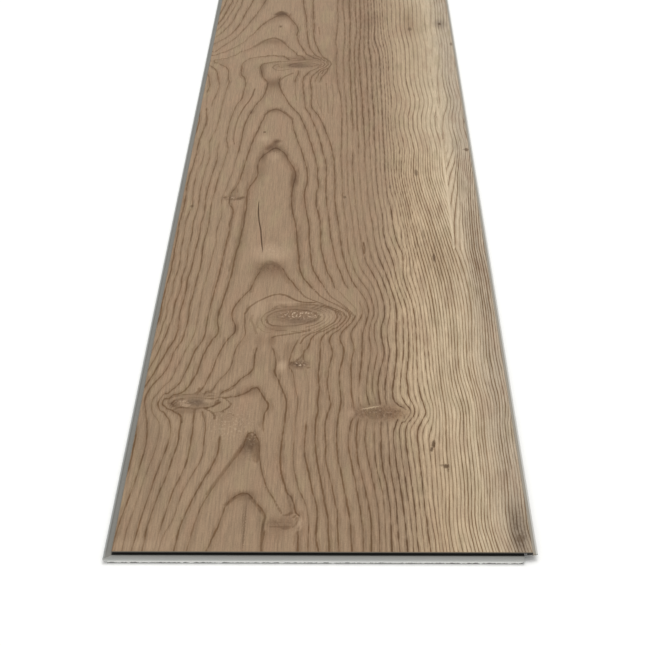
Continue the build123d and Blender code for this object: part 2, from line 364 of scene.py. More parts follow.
        (23.5, 200), (21.2, 149), (21, 130), (20, 118), (19.5, 100), (20, 82), (21.5, 72), (24, 55),
        (26, 39), (27, 25), (27, 7)],
    11: [(-108.3, 212), (-107, 221), (-106.2, 230), (-105, 240), (-104.5, 250), (-104.5, 265),
        (-102.6, 284), (-103.3, 296), (-101.8, 315), (-102.6, 342), (-101.8, 362), (-102.3, 380),
        (-101, 400), (-101.4, 425), (-101, 445), (-100.3, 472), (-98.8, 495), (-101.2, 521),
        (-100.3, 529), (-99.1, 539), (-97, 551), (-96.6, 564), (-96, 590), (-95.5, 610),
        (-95.2, 621), (-94.1, 636), (-93.5, 652), (4.8, 655), (5.5, 645), (6.5, 632), (8, 620),
        (8.5, 610), (9.1, 590), (9.5, 560), (9.2, 522), (8.8, 497), (9.5, 472), (10.3, 445),
        (10.8, 412), (11.8, 394), (13.3, 375), (14.3, 340), (32, 247), (29.5, 200), (27, 175),
        (26, 150), (27.7, 139), (25.5, 118), (24.5, 105), (25.5, 90), (27.5, 72), (29.5, 55),
        (31, 39), (31.5, 25), (31.5, 10)],
    12: [(-111, 220), (-110.5, 230), (-109, 250), (-110, 257), (-108, 275), (-108.6, 290),
        (-106.7, 310), (-107.9, 340), (-107.6, 350), (-107.9, 370), (-107.6, 390), (-105.6, 407),
        (-106.7, 431), (-106.4, 470), (-104.5, 485), (-104, 506), (-104.5, 540), (-104.9, 600),
        (-103, 620), (-101.6, 641), (-102, 652), (11, 655), (11.2, 645), (12, 625), (13, 600),
        (13.2, 580), (13.6, 560), (14, 535), (13.6, 497), (14, 447), (15.6, 419), (17, 394),
        (18.2, 375), (20, 340), (24, 309), (29.2, 294), (32.3, 281), (34.2, 267), (35, 255),
        (34.8, 247), (32.3, 234), (31.8, 221), (33.5, 200), (32.3, 189), (30.8, 177), (30, 155),
        (31.5, 142), (30.5, 118), (30, 100), (30.5, 80), (32.5, 64), (34.5, 45), (35, 25), (35, 7)],
    13: [(-113.3, 250), (-112.4, 300), (-112.3, 350), (-112, 400), (-112.5, 445), (-111, 475),
        (-110.5, 490), (-110, 514), (-109.3, 533), (-108.3, 544), (-107, 558), (-106.8, 566),
        (-107.4, 576), (-108.7, 589), (-110, 605), (-111, 629), (-110.3, 644), (-111, 655),
        (17, 655), (17, 640), (18, 600), (18.8, 560), (18.5, 500), (19, 450), (21, 400), (25, 340),
        (39, 260), (39.4, 247), (37.9, 205), (37.3, 192), (35.3, 180), (33.5, 167), (33.5, 150),
        (34.3, 115), (34, 97), (34.5, 75), (37.5, 45), (38, 26), (38, 7)],
    14: [(42, 11), (41.5, 45), (39, 100), (38.5, 115), (37.6, 155), (38.6, 170), (39.8, 186),
        (41.5, 200), (40.6, 215), (41.4, 237), (43, 250), (42.9, 265), (41.4, 277), (39, 292),
        (35.3, 309), (32.3, 321), (29.7, 342), (28.2, 360), (26.7, 381), (25.5, 406), (24.5, 430),
        (23.2, 472), (22.7, 497), (23.2, 529), (22.3, 560), (22, 600), (21, 640), (20.8, 655)],
    15: [(46.5, 11), (45, 45), (44.4, 176), (46, 196), (47.4, 250), (35, 340), (33.8, 356),
        (33, 375), (31.2, 400), (30, 425), (29.5, 450), (28.6, 510), (28, 560), (27.3, 580),
        (27, 620), (26, 640), (25.5, 655), (42.7, 161.4), (42.4, 146.9), (45.3, 139.3), (49.5, 135),
        (48.5, 124.9), (44.2, 121.2), (42.1, 112.8), (41.5, 102.6)],
    16: [(50, 11), (48.5, 45), (47.9, 170), (49.7, 189), (51.2, 255), (38.8, 345), (37.3, 372),
        (35.8, 397), (33.3, 450), (32.3, 512), (32.6, 547), (32.3, 600), (32, 655), (47.1, 158),
        (48, 146.9), (50.2, 139.3), (53, 131.8), (51, 125.9), (47.8, 122.2), (45.8, 115.9),
        (45.4, 102.6)],
    17: [(52, 11), (51.5, 170), (54, 200), (54.3, 255), (42.5, 344), (40.6, 369), (40.6, 394),
        (39, 412), (37.6, 437), (36.8, 479), (37.3, 504), (36.4, 522), (36.8, 560), (36, 620),
        (36, 655), (52.2, 161.4), (52.7, 146.9), (54.6, 139.3), (55.5, 131.8), (53.4, 125.4),
        (50.8, 121.2), (49.4, 112.8), (49, 102.6)],
    18: [(55.5, 11), (47, 350), (44.4, 375), (42.9, 402), (41.4, 431), (40.7, 500), (40.6, 560),
        (40, 655), (56.8, 250), (57, 200), (51, 300), (55.6, 158), (56.1, 148.1), (57.6, 138.2),
        (57.9, 130.7), (55.8, 123.3), (53.1, 117), (52, 102.6)],
    19: [(58.5, 11), (54.2, 330), (49.7, 355), (48.2, 375), (47.4, 400), (45, 425), (44.4, 450),
        (44.5, 500), (44.4, 560), (44.4, 620), (43.8, 655), (59, 158.1), (59.9, 148.1),
        (61.8, 136.1), (61.8, 128.6), (58.7, 120.1), (56.6, 112.9), (56.1, 100.6)],
    20: [(62, 11), (54.2, 369), (52, 387), (51.2, 406), (48.2, 431), (47.4, 444), (47, 500),
        (47.4, 655), (61.5, 200), (61.7, 250), (56, 300), (54.5, 345), (52.3, 380), (62.2, 158.1),
        (63.5, 144.8), (64.8, 133.9), (64.5, 127.5), (61.7, 119.1), (59.5, 110.8), (59.1, 100.6)],
    21: [(62.6, 50), (63, 80)],
    23: [(67.9, 50), (68, 80)],
    22: [(66.8, 200), (66.3, 250)],
    24.2: [(70, 0), (69, 25)],
    23.4: [(70, 190), (69.5, 250), (66.5, 300), (62.4, 345), (59.6, 380)],
    28.4: [(80, 0), (78, 25), (79.5, 50), (79.8, 80), (80, 110), (82, 130), (79.8, 150),
        (78.8, 175), (79.2, 200), (80, 250), (77.8, 300), (73.6, 345), (70.4, 380), (66.6, 415)],
    33.4: [(90, 0), (87.4, 25), (89.2, 50), (90.4, 80), (90.4, 110), (91.3, 130), (90.8, 150),
        (88.2, 180), (89.2, 210), (90.4, 250), (88.8, 300), (84.6, 345), (81.2, 380), (77.4, 415),
        (74, 450)],
    37.6: [(98, 0), (95, 25), (98, 80), (99, 120), (99.6, 150), (96.6, 180), (98.4, 250),
        (96.4, 300), (93.2, 345), (89.6, 380), (85.8, 415), (82.4, 450)],
    26.4: [(60, 450), (59.6, 500), (60, 560), (60.4, 600), (60.8, 655)],
    31.4: [(70, 450), (69.2, 500), (70, 560), (70.4, 600), (70.8, 655)],
    36.4: [(80, 450), (78.4, 500), (79.2, 560), (80, 600), (80.8, 655)],
    41.6: [(90, 450), (88.6, 500), (89.2, 560), (90, 600), (90.8, 655)],
    43.8: [(94, 450), (94, 560), (95, 655)],
}
# The rings from there on. At 870 mm the photograph ends, and the board goes on in the same way.
far_rings = {
    4.4: [(-54, 675)],
    5: [(-58, 645), (-59, 653), (-62, 660), (-64.1, 668), (-65.3, 680), (-66, 690), (-63.7, 695),
        (-58.7, 697.6), (-53.7, 699.6), (-48.7, 700.6), (-47.8, 648), (-47.4, 660), (-45.3, 666),
        (-42, 669)],
    6: [(-78, 640), (-78.3, 650), (-79.8, 662), (-82.8, 668), (-83.6, 684), (-83.3, 696),
        (-81.2, 701), (-78.7, 706), (-75.3, 709), (-70.3, 711), (-63.7, 712.4), (-57, 715),
        (-50.3, 713), (-43.7, 710), (-13, 694), (-31.2, 668), (-32.8, 662), (-33.3, 652),
        (-32.9, 642)],
    6.5: [(-92, 702), (-60, 730), (-80, 716)],
    7: [(-93.7, 640), (-93.3, 650), (-94.5, 662), (-95.2, 675), (-96.6, 683), (-99.9, 689),
        (-104.5, 694), (-109.5, 698), (-114.5, 700), (-114, 703), (-109.5, 705), (-102.8, 708),
        (-96.2, 712), (-90.3, 717), (-87.6, 724), (-83, 728), (-79, 732), (-75, 737), (-70.6, 744),
        (-66.2, 752), (-62, 757), (-56.9, 760), (-52.5, 757), (-48.9, 752), (-45.5, 745),
        (-42.6, 737), (-38.5, 729), (-34.5, 721), (-33.7, 716), (-27.8, 712), (-11, 694),
        (-22.8, 669), (-25.8, 662), (-26.3, 654), (-26.2, 644)],
    8: [(-102, 642), (-103.3, 656), (-104.5, 666), (-106.6, 678), (-109.5, 685), (-113.7, 691),
        (-113.5, 716), (-107.8, 719), (-102, 724), (-96, 732), (-90, 741), (-84, 752), (-81.2, 763),
        (-77.4, 770), (-75.3, 778), (-72.8, 786), (-70.3, 794), (-67, 802), (-62.8, 810),
        (-59.5, 815), (-55, 822), (-50, 826), (-47, 823), (-44.5, 818), (-41.2, 809), (-37.8, 799),
        (-34.9, 788), (-34.1, 778), (-34.9, 770), (-33.7, 756), (-32.4, 746), (-29.5, 736),
        (-26.6, 726), (-24.5, 718), (-20.3, 713), (-8.7, 695), (-16.2, 670), (-18.3, 664),
        (-19.3, 656), (-19.3, 646)],
    9: [(-110.3, 644), (-111.6, 656), (-113.3, 668), (-112, 724), (-108.7, 730), (-105.3, 738),
        (-101.2, 746), (-97, 754), (-92.8, 764), (-89.9, 774), (-87, 784), (-83.7, 796),
        (-81.2, 808), (-78.7, 817), (-76.2, 829), (-73.7, 841), (-71.6, 853), (-69, 868),
        (-66, 890), (-60, 918), (-53, 940), (-48, 948), (-42, 936), (-35, 905), (-31.5, 880),
        (-31.2, 868), (-30.3, 852), (-29.1, 836), (-27.4, 822), (-26.6, 806), (-26, 792),
        (-25.3, 778), (-24.5, 764), (-23.3, 748), (-21.6, 734), (-19.5, 726), (-16.2, 716),
        (-13.7, 712), (-6.2, 695), (-10.8, 676), (-13.3, 664), (-14.9, 656), (-15, 645)],
    10: [(-112, 748), (-107.8, 754), (-103.7, 760), (-99.1, 770), (-95.8, 782), (-92.8, 794),
        (-90.8, 808), (-89.1, 822), (-87, 836), (-84.5, 850), (-82.4, 866), (-80, 900), (-75, 955),
        (-66, 1000), (-55, 1030), (-47, 1036), (-38, 1015), (-29, 960), (-23, 910), (-21.2, 868),
        (-20.8, 848), (-19.9, 828), (-19.3, 808), (-18.8, 792), (-18.7, 772), (-17.8, 758),
        (-16.2, 744), (-13.7, 732), (-11.2, 720), (-8.7, 710), (-3.7, 695), (-5.8, 672),
        (-8.7, 664), (-11, 648)],
    10.6: [(-2, 735), (-1.2, 694), (-2, 672), (-5.3, 648)],
    11: [(-112, 766), (-107.4, 778), (-103.7, 790), (-99.9, 804), (-98.3, 818), (-96.6, 832),
        (-94.5, 848), (-93.3, 866), (-91, 920), (-86, 1000), (-78, 1080), (-66, 1130), (-50, 1152),
        (-30, 1120), (-14, 1050), (-4, 970), (2, 900), (4.7, 868), (3.9, 849), (4.5, 830),
        (4.6, 800), (3.5, 770), (3, 745), (4.2, 725), (3.9, 692), (4.5, 670), (5.2, 648)],
    12: [(-113.5, 780), (-110.3, 792), (-106.2, 810), (-103.7, 826), (-100.3, 846), (-98.5, 866),
        (-98, 920), (-96, 1000), (-92, 1080), (-86, 1150), (-76, 1210), (-58, 1248), (-32, 1225),
        (-12, 1140), (0, 1040), (7, 940), (9.8, 868), (9.5, 840), (11.5, 790), (11.8, 760),
        (11, 740), (10.3, 720), (10.3, 700), (10.8, 660), (11, 648)],
    13: [(-112, 806), (-108.7, 824), (-107, 840), (-104.5, 856), (-103, 900), (-103, 1000),
        (-101, 1100), (-98, 1200), (-92, 1290), (-78, 1352), (-50, 1380), (-20, 1330), (-2, 1210),
        (8, 1080), (14, 950), (16, 868), (16.5, 780), (16.4, 760), (16.4, 720), (16, 700),
        (17, 660), (17, 648)],
    14: [(-111, 850), (-109, 880), (-109, 1000), (-108, 1150), (-106, 1300), (-101, 1420),
        (-92, 1490), (-84, 1524), (-8, 1524), (4, 1400), (12, 1250), (18, 1100), (21, 960),
        (22.5, 868), (23, 780), (22, 760), (20.5, 720), (21, 700), (20.8, 655)],
    15: [(-114, 900), (-114, 1000), (-113, 1200), (-112, 1400), (-110, 1524), (10, 1524),
        (18, 1300), (24, 1100), (25.5, 960), (26.5, 868), (26.5, 780), (26.5, 760), (25, 720),
        (24.7, 700), (25.5, 655)],
    16: [(24, 1524), (28, 1300), (30, 1100), (31, 960), (31, 868), (31, 780), (30, 760),
        (29.7, 720), (31, 700), (32, 655)],
    17: [(33, 1524), (35, 1300), (36, 1100), (35, 960), (35, 868), (34.5, 780), (34.5, 760),
        (35.3, 720), (36, 700), (36, 655)],
    18: [(39, 1524), (39, 1200), (38, 960), (38, 868), (37.6, 780), (37, 760), (40.3, 720),
        (40.6, 700), (40, 655)],
    19: [(43, 1524), (43, 1200), (41, 960), (41, 868), (40.6, 780), (40, 760), (43.6, 720),
        (44, 700), (43.8, 655)],
    20: [(46.5, 1524), (46, 1200), (44.5, 960), (44, 868), (44, 780), (43.6, 760), (47.2, 720),
        (47.4, 655)],
    26: [(60, 655), (60, 720), (58.4, 770), (58, 868), (58, 1000), (59, 1200), (58, 1400),
        (59, 1524)],
    31: [(70, 655), (70, 720), (68.8, 770), (68.6, 868), (69.4, 1000), (68, 1200), (69, 1400),
        (69, 1524)],
    36: [(80, 655), (80, 720), (79.2, 770), (79, 868), (80, 1000), (78.6, 1200), (80, 1400),
        (80, 1524)],
    41.2: [(90, 655), (90, 720), (89.6, 770), (89.6, 868), (90.4, 1000), (89, 1200), (90, 1400),
        (90, 1524)],
    43.4: [(94, 655), (94, 770), (94, 868), (94, 1000), (94, 1200), (94, 1524)],
}


def ring_field(rings, across_mm, along_mm):
    """Ring number everywhere on the face: a thin plate bent through all the points of the rings."""
    # Squeezed along the board, where the rings run long, and giving a little at each point
    squeeze, give = 4.0, 0.6
    points = np.array([(x, v / squeeze) for line in rings.values() for x, v in line], float)
    numbers = np.array([number for number, line in rings.items() for point in line], float)
    gaps = ((points[:, None] - points[None]) ** 2).sum(-1)
    plate = 0.5 * gaps * np.log(gaps + 1e-9)
    plate[np.diag_indices(len(points))] = give
    tilt = np.c_[np.ones(len(points)), points]
    system = np.block([[plate, tilt], [tilt.T, np.zeros((3, 3))]])
    weights = np.linalg.solve(system, np.r_[numbers, 0, 0, 0])
    field = np.empty((len(along_mm), len(across_mm)))
    for line_number, v in enumerate(along_mm):
        gaps = (across_mm[:, None] - points[None, :, 0]) ** 2 + (v / squeeze - points[None, :, 1]) ** 2
        bent = (0.5 * gaps * np.log(gaps + 1e-9)) @ weights[: len(points)]
        field[line_number] = bent + weights[-3] + weights[-2] * across_mm + weights[-1] * v / squeeze
    return field


def window(value, start, end, soft):
    """1 between start and end, falling softly to 0 past them."""
    rise = np.clip((value - start) / soft + 0.5, 0, 1)
    fall = np.clip((end - value) / soft + 0.5, 0, 1)
    return rise * rise * (3 - 2 * rise) * fall * fall * (3 - 2 * fall)


across_mm = columns * 1000
along_mm = (rows - near_edge) * 1000
x_mm, v_mm = np.meshgrid(across_mm, along_mm)
# One set of rings gives way to the other between 646 and 655 mm, and each goes on a little past that
change_over = (646.0, 655.0)
near_end, far_start = 662, 638
near_numbers = ring_field(near_rings, across_mm, np.minimum(along_mm, near_end))
far_numbers = ring_field(far_rings, across_mm, np.maximum(along_mm, far_start))

# Right of x 92 the rings are 1.75 mm apart and wander: how far they have moved over, at three
# places across, from the near edge on. Past 340 mm they part there from the rings on their left.
seam, edge_spacing = pale_line * 1000, 1.75
wander_at = [0, 18, 30, 45, 60, 75, 90, 120, 140, 160, 180, 200, 225, 240, 270, 300, 340]
wander_at += [380, 420, 460, 500, 540, 590, 680, 760, 870, 1000, 1150, 1300, 1450, 1524]
wander_94 = [0, -2.5, -2.2, -0.5, 1.2, 2, 2, 1.6, 0.6, -0.3, -2.1, -2.7, -3.4, -3.6, -4.4, -5.6, -7]
wander_94 += [-6.3, -4.5, -2.4, 0, 2.4, 4.5, 8, 10, 11, 8, 11, 14, 11, 10]
wander_100 = [0, -3, -2.5, -1, 0.8, 1.5, 1.2, 1.2, 0.3, -0.8, -1.8, -2.4, -2.5, -2, -2, -2.5, -3]
wander_100 += [-2, 0, 2.5, 4.8, 7, 9, 12, 14.5, 15.5, 12, 14, 17, 14, 13]
wander_110 = [0, -2.5, -1.6, -0.5, 0.5, 0.9, 0.5, 0, 0.7, 0.8, 0, -1.4, -2.6, -3, -3.5, -3.5, -3.2]
wander_110 += [-2.2, -0.6, 1.8, 4, 5.4, 6.5, 9, 11, 12, 9, 10, 13, 11, 10]
parting = 340
wanders = (wander_94, wander_100, wander_110)
moves = np.array([np.interp(along_mm, wander_at, table) for table in wanders])
moved = np.array([np.interp(across_mm, [seam, 100, 110], move) for move in moves.T])
joined_rows = along_mm < parting
joined_number = near_numbers[:, np.searchsorted(across_mm, seam)]
joined_number = np.where(joined_rows, joined_number, joined_number[joined_rows][-1])
joined_move = np.where(joined_rows, moves[0], moves[0][joined_rows][-1])
edge_numbers = joined_number[:, None] + (x_mm - seam - moved + joined_move[:, None]) / edge_spacing
edge_side = x_mm > seam
near_numbers = np.where(edge_side, edge_numbers, near_numbers)
far_numbers = np.where(edge_side, edge_numbers, far_numbers)
# Past 460 mm all rings right of the arches sway together
sway_at = [460, 507, 527, 551, 575, 597, 612, 625, 644, 667, 693, 740, 790, 840, 900]
sway = [0, 2.4, 1.2, -1.2, -1.0, 1.5, 2.0, 1.0, -0.5, -1.2, -0.4, 0.8, -0.8, 0.8, 0]
sway_from, sway_whole = 46, 60
right_share = np.clip((across_mm - sway_from) / (sway_whole - sway_from), 0, 1)
for numbers in (near_numbers, far_numbers):
    for row, v in zip(numbers, along_mm):
        row[:] = np.interp(across_mm - np.interp(v, sway_at, sway) * right_share, across_mm, row)
# Rings for each mm, everywhere
least_slope, most_slope = 0.02, 0.75
near_slopes = np.hypot(*np.gradient(near_numbers, along_mm, across_mm)).clip(least_slope, most_slope)
far_slopes = np.hypot(*np.gradient(far_numbers, along_mm, across_mm)).clip(least_slope, most_slope)

# Where a ring fades out: its number, the side of the arches, from and to, and what is left
arch_axis, fade_softness, seam_half = -46, 8, 0.15
near_fades = [
    (0, 0, -20, 0, 1.0),
    (1, 1, -20, 42, 0.35),
    (2, 1, -20, 112, 0.1),
    (2, -1, 106, 146, 0.0),
    (3, -1, -20, 150, 0.0),
    (5, -1, -20, 16, 0.35),
    (5, 1, 120, 190, 0.35),
    (8, -1, -20, 500, 0.6),
    (10, -1, 524, 700, 0.0),
    (12, -1, 508, 596, 0.15),
    (13, -1, 592, 628, 0.3),
    (10, 1, 136, 160, 0.3),
    (13, 1, 505, 545, 0.5),
]
# Where the rings are bolder or fainter: x, v, half sizes and how much
near_weights = [
    (-44, 100, 8, 13, 0.7),
    (-45, 51, 8, 6, 0.2),
    (-42, 312, 12, 12, -0.6),
    (27, 420, 16, 130, -0.5),
    (-95, 500, 18, 130, -0.25),
    (-98, 45, 20, 60, -0.25),
    (-67, 385, 14, 90, 0.1),
    (-20, 385, 14, 110, 0.1),
    (-28, 470, 6, 40, 0.15),
    (-48, 503, 12, 14, 0.5),
    (-49, 588, 10, 6, 0.6),
    (-52, 640, 8, 14, 0.5),
    (78, 320, 12, 60, 0.3),
    (108, 320, 9, 60, 0.4),
]
far_weights = [
    (-52, 650, 8, 12, 0.5),
    (-64, 680, 5, 18, 0.6),
    (-60, 752, 18, 10, 0.3),
    (98, 720, 22, 90, -0.3),
    (-44, 742, 10, 20, -0.2),
    (-98, 745, 20, 40, -0.3),
    (-80, 755, 10, 25, -0.5),
    (-50, 826, 12, 12, 0.7),
    (-44, 812, 8, 14, 0.4),
    (-29, 830, 10, 60, 0.2),
    (-78, 705, 24, 14, -0.4),
]


def strengths(numbers, fades, weights):
    """How dark each ring is printed, 1 where it is plain."""
    strength = np.ones(numbers.shape)
    nearest = np.round(numbers)
    for number, side, start, end, left in fades:
        there = (nearest == number) & ((x_mm - arch_axis) * side >= 0)
        strength[there] *= (1 - (1 - left) * window(v_mm, start, end, fade_softness))[there]
    for x, v, half_x, half_v, more in weights:
        strength *= 1 + more * np.exp(-(((x_mm - x) / half_x) ** 2) - ((v_mm - v) / half_v) ** 2)
    strength[(np.abs(x_mm - seam) < seam_half) & (v_mm > parting)] = 0
    return strength


# Inside the innermost ring of each set there is plain wood
near_innermost, far_innermost = -0.5, 4.6
near_strengths = strengths(near_numbers, near_fades, near_weights)
near_strengths[near_numbers < near_innermost] = 0
# Round the largest eye the rings give way to strokes: x from, to and softness, then v
for x_from, x_to, x_soft, v_from, v_to, v_soft in [
    (-53, -11, 4, 222, 278, 4),
    (-14, 22, 3, 246, 281, 3),
    (-49, -33, 4, 206, 230, 6),
    (-36, -17, 4, 215, 230, 4),
]:
    near_strengths *= 1 - window(x_mm, x_from, x_to, x_soft) * window(v_mm, v_from, v_to, v_soft)
far_strengths = strengths(far_numbers, [], far_weights)
far_strengths[far_numbers < far_innermost] = 0
far_strengths *= 1 - window(x_mm, -47, -36, 3) * window(v_mm, 662, 690, 4)

# The eye of each knot hides the rings under it: middle and half sizes
eyes = [
    (-21.5, 244, 29.5, 19.5),
    (-79, 141, 18.5, 8.5),
    (-27, 691, 26, 13),
    (34, 131, 18, 8.5),
    (-22, 24, 12, 9),
    (-17, 184, 7, 4.5),
]
hidden_to, shown_from = 0.92, 1.08
for x, v, half_x, half_v in eyes:
    out = np.hypot((x_mm - x) / half_x, (v_mm - v) / half_v)
    kept = np.clip((out - hidden_to) / (shown_from - hidden_to), 0, 1)
    near_strengths *= kept
    far_strengths *= kept

